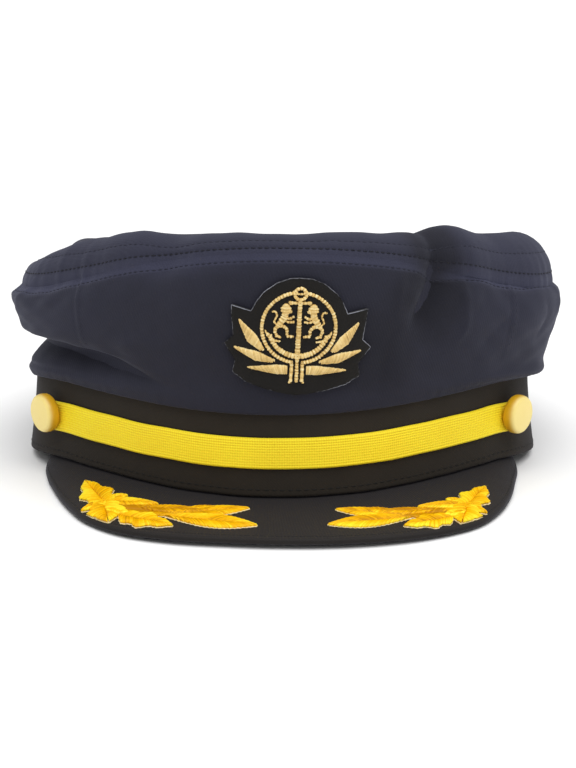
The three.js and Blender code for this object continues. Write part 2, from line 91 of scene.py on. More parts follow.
class HatSizes(bpy.types.PropertyGroup):
    """Sizes of the hat, the same as the solids that it dresses"""

    band_show: length("Band height", "Height of band below the crown", 29 * MM)
    band_tuck: length("Band tuck", "Height of band sewn up inside the crown", 4 * MM)
    band_wall: length("Band cloth", "Thickness of the band", 2 * MM)
    band_flare: length("Band flare", "How far its lower edge stands out", 3.5 * MM)
    widest_forward: length("Widest place", "How far in front of its middle it is widest", 22 * MM)
    shoulder_trim: share("Shoulder trim", "Share taken off between front and side", 0.088)
    front_lift: length("Front lift", "How high the visor props up the front", 6.6 * MM)
    lift_starts: angle_of("Lift starts", "Where the band begins to come down", 58)
    lift_ends: angle_of("Lift ends", "Where the band lies on the table", 100)
    crown_wall: length("Crown cloth", "Thickness of the crown", 1.5 * MM)
    crown_front: length("Crown front", "Height of the top over the forehead", 99.3 * MM)
    crown_back: length("Crown back", "Height of the top over the nape", 57 * MM)
    crown_swell: length("Crown swell", "How far the wall swells out", 13 * MM)
    crown_droop: length("Crown droop", "How far its edge hangs below the top", 19 * MM)
    crown_roll: share("Crown roll", "Share of the way in that its edge is round", 0.13)
    crown_sag: length("Crown sag", "How far the middle of the top sinks", 4 * MM)
    fold_depth: length("Fold depth", "Depth of the deepest fold", 11 * MM)
    visor_wall: length("Visor board", "Thickness of the visor", 2.2 * MM)
    visor_reach: length("Visor reach", "How far it stands out in front", 35 * MM)
    visor_end: angle_of("Visor ends", "Where its ends meet the band", 71)
    visor_tuck: length("Visor tuck", "How far its root is sewn in", 3 * MM)
    visor_end_width: length("Visor end width", "Width of its ends", 1.5 * MM)
    visor_arch: length("Visor arch", "How far its front edge clears the table", 1 * MM)
    visor_arch_angle: angle_of("Visor arch end", "Where it comes down to the table", 45)
    visor_square: FloatProperty(
        name="Visor squareness", description="2 makes its edge an ellipse", default=2.2
    )
    strap_width: length("Strap width", "Width of the ribbon", 10.5 * MM)
    strap_thick: length("Strap thickness", "Thickness of the ribbon", 1.2 * MM)
    strap_height: length("Strap height", "Its middle above the band's lower edge", 15.5 * MM)
    button_angle: angle_of("Button place", "Where the buttons are sewn", 67)
    button_rise: length("Button rise", "Its middle above the strap's middle", 1.5 * MM)
    button_size: length("Button size", "Diameter of a button", 14.4 * MM)
    button_thick: length("Button thickness", "Thickness of a button", 5 * MM)
    ring_size: length("Badge ring", "Diameter of the badge's ring", 25.5 * MM)
    badge_drop: length("Badge drop", "From the seam down to the ring's centre", 25 * MM)
    badge_aside: length("Badge aside", "Its centre towards the wearer's left", 6.5 * MM)
    badge_lean: angle_of("Badge lean", "Its top towards the wearer's left", 3)
    patch_thick: length("Patch thickness", "Thickness of the felt", 1.2 * MM)
    thread_rise: length("Thread rise", "How far sewn figures stand out", 0.8 * MM)
    sprig_forward: length("Sprig place", "From the band to a sprig's middle line", 17 * MM)
    gap: length("Gap", "Clearance between pieces that touch", 0.3 * MM)


class HatColours(bpy.types.PropertyGroup):
    """Colours of the hat's cloth, ribbon and thread"""

    navy: colour("Crown cloth", "Navy cotton", (0.0160, 0.0160, 0.0245))
    # Navy painted lighter where painted light falls on the crown, and also the light end of its
    # stitches' thread.
    navy_lit: colour("Faded crown cloth", "Navy cotton where it is worn", (0.040, 0.0415, 0.071))
    # Darker than the cloth, as painted shade in the crown's stitch holes.
    navy_thread_shaded: colour("Crown thread", "Thread of the crown's stitches", (0.006, 0.006, 0.012))
    black: colour("Band cloth", "Black cotton", (0.0225, 0.0180, 0.0130))
    visor: colour("Visor cloth", "Black cotton drawn over board", (0.0140, 0.0113, 0.0100))
    black_thread: colour("Band thread", "Thread of the band and the visor", (0.004, 0.004, 0.004))
    yellow: colour("Ribbon", "Yellow ribbon", (1.0, 0.84, 0.03))
    # Painted shade: the yellow of the gaps between the ribbon's cords and picks.
    yellow_shaded: colour("Ribbon gaps", "Yellow between the ribbon's cords", (0.86, 0.53, 0.008))
    butter: colour("Button", "Pale yellow of the covered buttons", (0.95, 0.76, 0.25))
    butter_deep: colour("Button side", "Deeper yellow of a button's side", (0.78, 0.42, 0.01))
    gold: colour("Badge thread", "Gold thread in the light", (0.86, 0.60, 0.22))
    gold_deep: colour("Badge thread gaps", "Gold thread in the shade", (0.36, 0.20, 0.045))
    gold_light: colour("Badge highlight", "Gold thread that glints", (1.0, 0.84, 0.45))
    sprig: colour("Sprig thread", "Orange yellow thread", (0.98, 0.51, 0.001))
    sprig_light: colour("Sprig highlight", "Yellow thread in full light", (1.0, 0.82, 0.03))
    sprig_deep: colour("Sprig stem", "Orange yellow thread in the shade", (0.52, 0.22, 0.0))
    cream: colour("Sprig edging", "Pale thread round the sprigs", (0.95, 0.78, 0.42))
    felt: colour("Patch", "Black felt", (0.0085, 0.0075, 0.0068))
    # A painted glint: the pale line along the patch's cut edge.
    felt_edge_glint: colour("Patch edge", "Pale cut edge of the felt", (0.30, 0.31, 0.36))


class StageSettings(bpy.types.PropertyGroup):
    """Floor, light and camera"""

    floor: colour("Floor", "Colour of the floor", (0.93, 0.93, 0.93))
    daylight: FloatProperty(name="Daylight", description="Light from all round", default=0.45)
    overhead: FloatProperty(
        name="Overhead", description="Strength of the soft light from above", default=2.7
    )
    spread: angle_of("Overhead spread", "Width of the soft light from above", 70)
    tilt: angle_of("Overhead tilt", "How far the soft light from above leans to the front", 12)
    aside: angle_of("Overhead aside", "How far it leans to the hat's left", 6)
    camera_back: length("Camera distance", "From the hat's middle, along the floor", 0.68)
    camera_up: length("Camera height", "Above the floor", 0.21)
    camera_aim: length("Camera aim", "Height that the camera looks at", 18.9 * MM)
    camera_aside: length("Camera aside", "How far to the hat's left it looks", 2 * MM)
    camera_turn: angle_of("Camera turn", "Round the hat, towards its left", 0.73)
    lens: FloatProperty(name="Lens", description="Focal length", default=83.16, unit="CAMERA")


# Small tools

def smooth(x, low, high):
    t = np.clip((x - low) / (high - low), 0, 1)
    return t * t * (3 - 2 * t)


def wrapped(angle):
    """The same angle between minus and plus half a turn."""
    return (angle + np.pi) % (2 * np.pi) - np.pi


def unit(vectors):
    size = np.linalg.norm(vectors, axis=-1, keepdims=True)
    return vectors / np.maximum(size, 1e-12)


def look_up(table, key, value, at):
    """Smooth curve through the rows of a table: what column value has where column key is at."""
    keys = np.array([getattr(row, key) for row in table], float)
    values = np.array([getattr(row, value) for row in table], float)
    slopes = np.zeros(len(keys))
    slopes[1:-1] = (values[2:] - values[:-2]) / (keys[2:] - keys[:-2])
    k = np.clip(np.searchsorted(keys, at, side="right") - 1, 0, len(keys) - 2)
    span = keys[k + 1] - keys[k]
    t = np.clip((at - keys[k]) / span, 0, 1)
    rise = t * t * (3 - 2 * t)
    bend = span * t * (1 - t) * ((1 - t) * slopes[k] - t * slopes[k + 1])
    return values[k] * (1 - rise) + values[k + 1] * rise + bend


# Random smooth waves round the hat, in millimetres. turns is the range of whole waves round it, and
# rises how much a wave may turn over one level.
Ripples = namedtuple("Ripples", "high seed count turns rises")
SOFT_WAVES = Ripples(0.42, 3, 14, (4, 15), 9)
CRUMPLES = Ripples(0.13, 5, 26, (14, 44), 34)
PUCKERS = Ripples(0.1, 8, 18, (60, 130), 5)
BAND_WAVES = Ripples(0.12, 11, 12, (5, 30), 3)
STRAP_WAVES = Ripples(0.09, 21, 8, (9, 26), 1)

# Random smooth waves over the top panel, in millimetres. lengths is the range of their lengths.
Swells = namedtuple("Swells", "high seed count lengths")
TOP_WAVES = [Swells(0.45, 6, 12, (30, 70)), Swells(0.135, 7, 14, (9, 20))]


def ripples(angle, level, kind):
    rng = np.random.default_rng(kind.seed)
    total = np.zeros(np.broadcast(angle, level).shape)
    for _ in range(kind.count):
        whole = rng.integers(*kind.turns)
        rise = rng.uniform(-kind.rises, kind.rises)
        total = total + np.cos(whole * angle + rise * level + rng.uniform(0, 2 * np.pi))
    return kind.high * MM * total / math.sqrt(kind.count)


def swells(places, kind):
    rng = np.random.default_rng(kind.seed)
    total = np.zeros(places.shape[:-1])
    for _ in range(kind.count):
        turn, size = rng.uniform(0, 2 * np.pi), 2 * np.pi / (rng.uniform(*kind.lengths) * MM)
        along = places[..., 0] * math.cos(turn) + places[..., 1] * math.sin(turn)
        total = total + np.cos(size * along + rng.uniform(0, 2 * np.pi))
    return kind.high * MM * total / math.sqrt(kind.count)


def normal_of(surface, u, v, step=0.02):
    """The outward direction of a surface, kept short of the one point where a top panel ends."""
    at = np.minimum(v, 2 - 2 * step)
    along_u = surface(u + step, at) - surface(u - step, at)
    along_v = surface(u, at + step) - surface(u, at - step)
    return unit(np.cross(along_u, along_v))


def curve_through(points, count, closed=False):
    """A smooth line of count points through a few."""
    points = np.array(points, float)
    if len(points) == 2:
        return points[0] + (points[1] - points[0]) * np.linspace(0, 1, count)[:, None]
    before = points[-1:] if closed else 2 * points[:1] - points[1:2]
    after = points[:2] if closed else 2 * points[-1:] - points[-2:-1]
    knots = np.concatenate([before, points, after])
    spans = len(knots) - 3
    at = np.linspace(0, spans, count, endpoint=not closed)
    k = np.minimum(at.astype(int), spans - 1)
    t = (at - k)[:, None]
    a, b, c, d = knots[k], knots[k + 1], knots[k + 2], knots[k + 3]
    square, cube = 2 * a - 5 * b + 4 * c - d, 3 * b - a - 3 * c + d
    return 0.5 * (2 * b + (c - a) * t + square * t ** 2 + cube * t ** 3)


# Form of the hat

RoundCrown = namedtuple("RoundCrown", "angle swell droop")
ROUND_CROWN = [  # at each angle from the front, the shares of the crown's swell and droop
    RoundCrown(0, 0.16, 0.37),
    RoundCrown(25, 0.2, 0.5),
    RoundCrown(50, 0.45, 0.8),
    RoundCrown(72, 0.7, 1),
    RoundCrown(95, 0.76, 0.85),
    RoundCrown(135, 0.62, 0.45),
    RoundCrown(180, 0.5, 0.36),
]

UpCrown = namedtuple("UpCrown", "rise swell")
UP_CROWN = [  # the share of the swell at each share of the height from hem to seam
    UpCrown(0, 0),
    UpCrown(0.08, 0.22),
    UpCrown(0.2, 0.36),
    UpCrown(0.4, 0.66),
    UpCrown(0.62, 0.96),
    UpCrown(0.8, 1),
    UpCrown(0.92, 0.78),
    UpCrown(1, 0.34),
]

# Folds and dents, each at an angle in degrees and a level (0 hem, 1 seam, 2 middle of the top).
# lean is how many degrees it moves over for one level, wide and high are its half width and half
# height, and deep is its depth as a share of the fold depth. A negative depth is a swelling.
Fold = namedtuple("Fold", "name angle level lean wide high deep")
FOLDS = [
    Fold("pinch over the hem", -86, 0.3, 0, 32, 0.1, 1),
    Fold("end of the pinch", -50, 0.24, 0, 16, 0.1, 0.34),
    Fold("flat left hem", -86, 0.12, 0, 28, 0.09, 0.19),
    Fold("flat left side", -95, 0.6, 0, 30, 0.28, 0.58),
    Fold("upper left side", -90, 0.82, 0, 20, 0.09, 0.16),
    Fold("flat right side", 84, 0.55, 0, 26, 0.25, 0.13),
    Fold("left shoulder", -88, 1.12, 0, 20, 0.07, 1.04),
    Fold("right shoulder", 78, 1.03, 0, 24, 0.13, -0.3),
    Fold("roll at the right hem", 82, 0.06, 0, 28, 0.1, -0.22),
    Fold("long crease", 36, 0.78, 12, 6, 0.34, 0.38),
    Fold("lip beside the crease", 48, 0.75, 8, 7, 0.32, -0.15),
    Fold("crest over the crease", 44, 1.1, 0, 12, 0.09, -0.34),
    Fold("nick in the seam", -25, 0.98, 6, 5, 0.12, 0.22),
    Fold("hump by the nick", -38, 1.08, 0, 9, 0.1, -0.13),
    Fold("right back fold", 128, 0.55, -14, 9, 0.32, 0.3),
    Fold("left back fold", -136, 0.6, 16, 9, 0.34, 0.3),
    Fold("nape fold", 176, 0.45, 10, 9, 0.3, 0.22),
    Fold("dish in the top", 100, 1.5, 0, 40, 0.25, 0.18),
]

VisorEdge = namedtuple("VisorEdge", "turn reach")
VISOR_EDGE = [  # how far out the visor's edge is round its front, as a share of an even edge
    VisorEdge(-90, 1),
    VisorEdge(-80, 0.985),
    VisorEdge(-70, 0.976),
    VisorEdge(-58, 0.99),
    VisorEdge(-46, 1.022),
    VisorEdge(-34, 1.035),
    VisorEdge(-22, 1.018),
    VisorEdge(-10, 0.998),
    VisorEdge(0, 1),
    VisorEdge(12, 1.012),
    VisorEdge(24, 1.03),
    VisorEdge(36, 1.05),
    VisorEdge(46, 1.058),
    VisorEdge(56, 1.036),
    VisorEdge(68, 1.005),
    VisorEdge(78, 0.99),
    VisorEdge(90, 1),
]

SEAM_GAP = 0.1 * MM  # between the crown's wall and its top

# Stitches, in millimetres: from one to the next, how long each is, the thread's radius and how deep
# it is pulled in. Their tone is 0 where they are as dark as the thread. The crown's thread is
# painted darker than its cloth, as painted shade in the stitch holes, and a higher tone paints less
# of it.
Stitch = namedtuple("Stitch", "pitch long radius sunk tone")
StitchRow = namedtuple("StitchRow", "name level stitch")
CROWN_ROWS = [
    StitchRow("under the seam", 0.955, Stitch(2.3, 1.7, 0.16, 0.04, 0.2)),
    StitchRow("over the seam", 1.022, Stitch(2.25, 1.75, 0.21, 0.0525, 0)),
    StitchRow("far over the seam", 1.055, Stitch(2.3, 1.7, 0.14, 0.035, 0.35)),
]
PANEL_STITCH = Stitch(2.3, 1.7, 0.12, 0.04, 0.5)
BAND_STITCH = Stitch(2.8, 2, 0.16, 0.06, 0)
VISOR_STITCH = Stitch(2.6, 1.9, 0.13, 0.05, 0)
PANEL_SEAMS = [-52, 60, 180]  # degrees from the front
PANEL_STITCH_ASIDE = 1.6  # degrees from the seam
PANEL_STITCH_LEVELS = (0.4, 0.93)
BAND_STITCH_HEIGHT = 2.6 * MM  # above the band's lower edge
VISOR_STITCH_ACROSS = 0.93  # share of the way from the visor's root to its edge
GROOVE_WIDE = 0.007  # half width, in levels, of the groove that a row of stitches lies in
PANEL_RIDGE = 0.28 * MM  # how far the cloth stands up beside a panel seam

# Sharp creases, each along a line of angles in degrees and levels. wide is its half width in
# millimetres, deep its depth in millimetres, and a negative depth is a ridge. dark is how much
# painted shade lies along it, as far out as PAINTED_SHADE_SPREAD of its half widths.
PAINTED_SHADE_SPREAD = 2.6
Crease = namedtuple("Crease", "name line wide deep dark", defaults=(0,))
CREASES = [
    Crease(
        "under the left bulge",
        [(-118, 0.25), (-88, 0.26), (-60, 0.25), (-38, 0.21), (-20, 0.1)], 2.4, 3.2, 0.1,
    ),
    Crease("lip of the left bulge", [(-80, 0.34), (-60, 0.34), (-42, 0.31), (-24, 0.2)], 2.2, -0.9),
    Crease("fold over the left hem", [(-110, 0.16), (-70, 0.15), (-46, 0.1)], 2.4, -0.5),
    Crease("end of the left fold", [(-48, 0.22), (-34, 0.14), (-24, 0.1)], 4, 0.6),
    Crease("dimple left of the badge", [(-37, 0.5), (-29, 0.56)], 3.5, 0.45),
    Crease("line left of the badge", [(-40, 0.42), (-27, 0.46)], 2.6, -0.3),
    Crease("under the right hump", [(38, 1.3), (37, 0.98), (33, 0.7), (28, 0.5)], 4.2, 2.0, 1.0),
    Crease("right hollow", [(27, 0.6), (23, 0.44), (22, 0.25), (21, 0.08)], 4.0, 0.9, 0.45),
    Crease("beside the hump", [(26.5, 1.0), (26, 0.8), (25, 0.62)], 2.2, -0.6),
    Crease("edge of the right crease", [(44, 1.08), (44.5, 0.9), (45, 0.6), (42, 0.42)], 2.0, -0.8),
    Crease("beside the right crease", [(52, 0.98), (50, 0.8), (46, 0.66)], 3.5, 0.5),
    Crease("fan from the right seam", [(62, 0.8), (50, 0.36)], 3.5, 0.4),
    Crease("pleat in the right side", [(72, 0.96), (75, 0.7), (72, 0.4)], 3.0, 0.6),
    Crease("pleat by the right edge", [(80, 1.1), (82, 0.86), (80, 0.6)], 2.4, -0.6),
    Crease("line by the left edge", [(-70, 1.06), (-76, 0.9), (-78, 0.74)], 2.2, -0.5),
    Crease("right back pleat", [(118, 0.9), (124, 0.5), (132, 0.2)], 3.5, 0.8),
    Crease("left back pleat", [(-126, 0.88), (-132, 0.5), (-128, 0.2)], 3.5, 0.8),
    Crease("nape pleat", [(168, 0.9), (172, 0.55), (166, 0.25)], 3.5, 0.7),
]


# Places on the crown, each round an angle in degrees and a level, with its half width and height
Area = namedtuple("Area", "angle level wide high")
BEHIND_BADGE = Area(4, 0.6, 19, 0.36)
# The next three are painted light: a painted highlight by the seam, painted sheen on the sides and
# painted shade on the front.
PAINTED_HIGHLIGHT_BY_SEAM = Area(-20, 0.93, 14, 0.05)
PAINTED_SHEEN_ON_SIDES = Area(78, 0.7, 30, 0.3)
PAINTED_SHADE_ON_FRONT = Area(2, 0.45, 34, 0.42)


def within(area, turn, level, sharp=2):
    """1 in the middle of an area, falling to 0 past its half width and height."""
    across, up = (turn - area.angle) / area.wide, (level - area.level) / area.high
    return np.exp(-(across ** sharp) - up ** sharp)


class HatForm:
    """The hat's surfaces. Angles are from the front towards +X, in radians."""

    def __init__(self, sizes):
        self.s = sizes
        self.middle = np.array([*((BAND_LOW + BAND_HIGH) / 2).xy, 0])
        self.half_width = (BAND_HIGH.x - BAND_LOW.x) / 2 - sizes.band_flare
        self.reach = (BAND_HIGH.y - BAND_LOW.y) / 2 - sizes.band_flare

    def outline(self, angle):
        """The upper edge of the band's face seen from above."""
        turn = wrapped(angle)
        front = np.abs(turn) < np.pi / 2
        forward = self.s.widest_forward
        reach = np.where(front, self.reach - forward, self.reach + forward)
        trim = np.where(front, 1 - self.s.shoulder_trim * np.sin(2 * turn) ** 2, 1)
        across = self.half_width * np.sin(turn) * trim
        return np.stack([across, -forward - reach * np.cos(turn) * trim], -1)

    def around(self, angle, out, height):
        """A point that stands a given distance outside the outline, at a given height."""
        step = 1e-3
        here = self.outline(angle)
        along = unit(self.outline(angle + step) - self.outline(angle - step))
        x = here[..., 0] + along[..., 1] * out
        y = here[..., 1] - along[..., 0] * out
        return np.stack(np.broadcast_arrays(x, y, height), -1)

    def band_foot(self, angle):
        turn = np.abs(wrapped(angle))
        return self.s.front_lift * (1 - smooth(turn, self.s.lift_starts, self.s.lift_ends))

    def band_face(self, height):
        low = np.maximum(0, 1 - height / self.s.band_show)
        return self.s.band_flare * low ** 1.3

    def top_plane(self, angle, inwards=0):
        slope = (self.s.crown_front - self.s.crown_back) / (2 * self.reach)
        depth = self.outline(angle)[..., 1] * (1 - inwards) + self.reach
        return self.s.crown_front - slope * depth

    def crown_share(self, angle, column):
        return look_up(ROUND_CROWN, "angle", column, np.degrees(np.abs(wrapped(angle))))

    def seam_height(self, angle):
        return self.top_plane(angle) - self.s.crown_droop * self.crown_share(angle, "droop")

    def hem_height(self, angle):
        return self.band_foot(angle) + self.s.band_show

    def plain_crown(self, angle, level):
        """The crown without its folds. Level 0 is the hem, 1 the seam and 2 the top's middle."""
        angle, level = np.broadcast_arrays(angle, level)
        rise = np.minimum(level, 1)
        swell = self.s.crown_swell * self.crown_share(angle, "swell")
        swell = swell * look_up(UP_CROWN, "rise", "swell", rise)
        hem, seam = self.hem_height(angle), self.seam_height(angle)
        wall = self.around(
            angle, self.s.gap + self.s.crown_wall + swell, hem + (seam - hem) * rise
        )
        past = np.maximum(level - 1, 0)
        roll = np.minimum(1, past / self.s.crown_roll) * np.pi / 2
        curled = self.s.crown_roll * (1 - np.cos(roll))
        inwards = np.where(past < self.s.crown_roll, curled, past)
        droop = self.s.crown_droop * self.crown_share(angle, "droop") * (1 - np.sin(roll))
        top = wall * (1 - inwards)[..., None]
        top[..., 2] = (
            self.top_plane(angle, inwards) - droop - self.s.crown_sag * smooth(inwards, 0.1, 0.8)
        )
        return np.where((level <= 1)[..., None], wall, top)

    def folds_at(self, angle, level, folds=FOLDS):
        depth = np.zeros(np.broadcast(angle, level).shape)
        for fold in folds:
            up = (level - fold.level) / fold.high
            lean = fold.angle + fold.lean * (level - fold.level)
            turn = np.degrees(wrapped(angle - np.radians(lean)))
            depth = depth + fold.deep * np.exp(-(up ** 2) - (turn / fold.wide) ** 2)
        fade = smooth(level, 0, 0.12) * (1 - smooth(level, 1.6, 2))
        return self.s.fold_depth * depth * fade

    def crown_core(self, angle, level):
        out = normal_of(self.plain_crown, angle, level)
        return self.plain_crown(angle, level) - out * self.folds_at(angle, level)[..., None]

    def near_line(self, angle, level, line):
        """Distance from a line of angles and levels, and how much of the line is there."""
        across = self.half_width
        up = self.seam_height(0.0) - self.hem_height(0.0)
        line = np.array(line) * [math.radians(1), 1]
        line = curve_through(line, 4 * len(line)) * [across, up]
        nearest = np.full(angle.shape, np.inf)
        along = np.zeros(angle.shape)
        x = wrapped(angle - line[0, 0] / across) * across + line[0, 0]
        for k, (here, there) in enumerate(zip(line, line[1:])):
            step = there - here
            t = ((x - here[0]) * step[0] + (level * up - here[1]) * step[1]) / (step @ step)
            t = np.clip(t, 0, 1)
            gap = np.hypot(x - here[0] - t * step[0], level * up - here[1] - t * step[1])
            along = np.where(gap < nearest, (k + t) / (len(line) - 1), along)
            nearest = np.minimum(nearest, gap)
        return nearest, smooth(along, -0.05, 0.3) * (1 - smooth(along, 0.65, 1.05))

    def creases_at(self, angle, level):
        """Depth of the sharp creases, each fading towards both of its ends."""
        depth = np.zeros(angle.shape)
        for crease in CREASES:
            nearest, there = self.near_line(angle, level, crease.line)
            reach = nearest / (crease.wide * MM)
            depth = depth + crease.deep * MM * there * np.exp(-(reach ** 1.5))
        return depth

    def wrinkles(self, angle, level):
        """Small unevenness of the sewn cloth, how far it lies inside the folded form."""
        angle, level = np.broadcast_arrays(angle, level)
        turn = np.degrees(wrapped(angle))
        on_top = smooth(level, 1.08, 1.3)
        loose = (1 - within(BEHIND_BADGE, turn, level, 4)) * smooth(level, 0.02, 0.2) * (1 - on_top)
        waves = ripples(angle, level, SOFT_WAVES) + ripples(angle, level, CRUMPLES)
        depth = loose * (waves + self.creases_at(angle, level))
        flat = self.plain_crown(angle, level)
        depth = depth + sum(swells(flat, kind) for kind in TOP_WAVES) * on_top
        near_seam = np.exp(-((level - 1.0) / 0.06) ** 2)
        near_hem = np.exp(-((level - 0.03) / 0.05) ** 2)
        depth = depth + ripples(angle, level, PUCKERS) * (near_seam + 0.6 * near_hem)
        for row in CROWN_ROWS:
            groove = np.exp(-((level - row.level) / GROOVE_WIDE) ** 2)
            depth = depth + row.stitch.radius * MM * groove
        on_wall = (1 - smooth(level, 1.0, 1.02)) * smooth(level, 0.1, 0.8)
        for seam in PANEL_SEAMS:
            aside = np.degrees(wrapped(angle - math.radians(seam)))
            ridge = np.exp(-((aside - 0.9) / 0.8) ** 2) - 0.9 * np.exp(-(aside / 0.45) ** 2)
            depth = depth - PANEL_RIDGE * ridge * on_wall
        return depth

    def painted_light(self, angle, level):
        """How much painted light the cloth has: most, as a painted highlight, in the strip at the
        seam, and below 0 for painted shade in its creases.
        """
        angle, level = np.broadcast_arrays(angle, level)
        turn = np.degrees(wrapped(angle))
        # The strip at the seam tilts up into the light, so it gets a painted highlight.
        strip = smooth(level, 0.93, 0.965) * (1 - 0.62 * smooth(level, 0.99, 1.03))
        strip = strip * (1 - smooth(level, 1.1, 1.2))
        # A painted highlight by the seam left of the badge, painted sheen on the sides and painted
        # shade on the front.
        painted_lit = 0.22 + 0.75 * strip + 0.3 * within(PAINTED_HIGHLIGHT_BY_SEAM, turn, level)
        painted_lit = painted_lit + 0.18 * within(PAINTED_SHEEN_ON_SIDES, np.abs(turn), level)
        painted_lit = painted_lit - 0.2 * within(PAINTED_SHADE_ON_FRONT, turn, level)
        # Painted shade along the darker creases, where they turn away from the light.
        for crease in CREASES:
            if crease.dark:
                nearest, there = self.near_line(angle, level, crease.line)
                reach = nearest / (PAINTED_SHADE_SPREAD * crease.wide * MM)
                painted_lit = painted_lit - crease.dark * there * np.exp(-(reach ** 2))
        return painted_lit

    def crown(self, angle, level):
        out = normal_of(self.plain_crown, angle, level)
        inset = self.folds_at(angle, level) + self.wrinkles(angle, level)
        return self.middle + self.plain_crown(angle, level) - out * inset[..., None]

    def crown_lining(self, angle, level):
        out = normal_of(self.crown_core, angle, level)
        return self.middle + self.crown_core(angle, level) - out * self.s.crown_wall

    def band(self, inset):
        def face(angle, share_up):
            height = share_up * (self.s.band_show + self.s.band_tuck)
            out = self.band_face(height) - inset + ripples(angle, share_up, BAND_WAVES)
            return self.middle + self.around(angle, out, self.band_foot(angle) + height)
        return face

    def visor_top(self, along, across):
        """Top of the visor: along runs from -1 to 1 round it, across from its root to its edge."""
        s = self.s
        along, across = np.broadcast_arrays(along, across)
        turn = along * np.pi / 2
        root_out = s.band_flare - s.visor_tuck
        root = self.around(along * s.visor_end, root_out, 0)
        end = self.around(s.visor_end, root_out + s.visor_end_width, 0)
        square = 2 / s.visor_square
        front = self.reach + s.visor_reach + end[1]
        reach = look_up(VISOR_EDGE, "turn", "reach", np.degrees(turn))
        rim = np.stack([
            end[0] * reach * np.sign(turn) * np.abs(np.sin(turn)) ** square,
            end[1] - front * reach * np.abs(np.cos(turn)) ** square,
            np.zeros(turn.shape),
        ], -1)
        edge = math.cos(s.visor_arch_angle)
        arch = s.visor_arch * np.maximum(0, (np.cos(turn) - edge) / (1 - edge))
        low = self.band_foot(along * s.visor_end) - s.gap
        place = root + (rim - root) * across[..., None]
        place[..., 2] = low + (s.visor_wall + arch - low) * across ** 1.2
        return self.middle + place

    def strap(self, out):
        def face(angle, share_up):
            height = self.s.strap_height + (share_up - 0.5) * self.s.strap_width
            stand = self.band_face(height) + self.s.gap + out
            height = height + ripples(angle, share_up, STRAP_WAVES)
            return self.middle + self.around(angle, stand, self.band_foot(angle) + height)
        return face


# Meshes

def edge_rows(first, last, outwards):
    """Rows that round off the edge between the faces of a sheet."""
    middle, half = (first + last) / 2, (first - last) / 2
    out = unit(outwards) * np.linalg.norm(half, axis=-1, keepdims=True)
    turns = np.radians([30, 60, 90, 120, 150])[:, None, None]
    return middle + half * np.cos(turns) + out * np.sin(turns)


def sheet_rows(outer, inner, us, levels, back_levels, tone=None, round_last=True):
    """Rows up a sheet's outer face, down its inner face and round the edges between them."""
    front = outer(us[None, :], levels[:, None])
    back = inner(us[None, :], back_levels[:, None])[::-1]
    last = edge_rows(front[-1], back[0], front[-1] - front[-2])
    first = edge_rows(back[-1], front[0], front[0] - front[1])
    rows = [front, last, back, first] if round_last else [front, back, first]
    if tone is None:
        return np.concatenate(rows), None
    # tone gives the painted light at each point of the outer face, and the inner face gets a plain
    # 0.2.
    painted_light = tone(us[None, :], levels[:, None])
    ends = [np.repeat(painted_light[[k]], len(edge), axis=0) for k, edge in ((-1, last), (0, first))]
    plain = np.full(back.shape[:2], 0.2)
    tones = [painted_light, ends[0], plain, ends[1]] if round_last else [painted_light, plain, ends[1]]
    return np.concatenate(rows), np.concatenate(tones)


def link(mesh, name):
    """Makes an object of a finished mesh, and lets it ride on the hat's one body."""
    mesh.validate()
    mesh.shade_smooth()
    thing = bpy.data.objects.new(name, mesh)
    bpy.context.scene.collection.objects.link(thing)
    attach(thing, BODY)
    return thing


def give_tone(mesh, tones):
    layer = mesh.attributes.new("tone", "FLOAT", "POINT")
    layer.data.foreach_set("value", np.asarray(tones, np.float32).ravel())


def run_round(line):
    """How far along a line each of its points is, and its first point after going round."""
    steps = np.linalg.norm(np.diff(line, axis=0, append=line[:1]), axis=-1)
    return np.concatenate([[0], np.cumsum(steps)])


def grid_object(
    name, rows, closed=True, looped=True, skip=(), capped=False, merge=False, tones=None,
    level=False,
):
    """A mesh over rows of points. closed joins each row's ends, looped the last row to the first.

    No faces follow the rows in skip, capped closes both ends, and merge welds points that meet. Its
    cloth map runs along and across the rows, or along X and Y where the cloth lies level.
    """
    count, wide = rows.shape[:2]
    r = np.arange(count if looped else count - 1)
    r = r[~np.isin(r, list(skip))]
    c = np.arange(wide if closed else wide - 1)
    r, c = [x.ravel() for x in np.meshgrid(r, c, indexing="ij")]
    next_r, next_c = (r + 1) % count, (c + 1) % wide
    here, there = r * wide, next_r * wide
    faces = np.stack([here + c, here + next_c, there + next_c, there + c], -1)
    polygons = faces.tolist()
    if capped:
        ring = np.arange(count) * wide
        polygons += [ring.tolist(), (ring + wide - 1)[::-1].tolist()]
    mesh = bpy.data.meshes.new(name)
    mesh.from_pydata(rows.reshape(-1, 3), [], polygons)
    place_u, place_v = run_round(rows[count // 3]), run_round(rows[:, 0])
    corners = np.stack([
        np.stack([place_u[c + over], place_v[r + up]], -1)
        for over, up in ((0, 0), (1, 0), (1, 1), (0, 1))
    ], 1).reshape(-1, 2)
    if level:
        corners = rows.reshape(-1, 3)[faces.ravel(), :2]
    if capped:
        corners = np.concatenate([corners, np.zeros((2 * count, 2))])
    layer = mesh.uv_layers.new(name="cloth")
    layer.data.foreach_set("uv", corners.astype(np.float32).ravel())
    if tones is not None:
        give_tone(mesh, tones)
    if merge:
        body = bmesh.new()
        body.from_mesh(mesh)
        bmesh.ops.remove_doubles(body, verts=body.verts, dist=1e-7)
        body.to_mesh(mesh)
        body.free()
    return link(mesh, name)


def dense(low, high, spacing, spots=(), near=0.02, fine=0.0035):
    """Levels from low to high at one spacing, and finer within a distance of each spot."""
    levels = list(np.arange(low, high, spacing)) + [high]
    for spot in spots:
        levels += [x for x in np.arange(spot - near, spot + near, fine) if low < x < high]
    levels = sorted(levels)
    kept = [levels[0]]
    for level in levels[1:-1]:
        if level - kept[-1] > fine * 0.6:
            kept.append(level)
    return np.array([*kept, high])


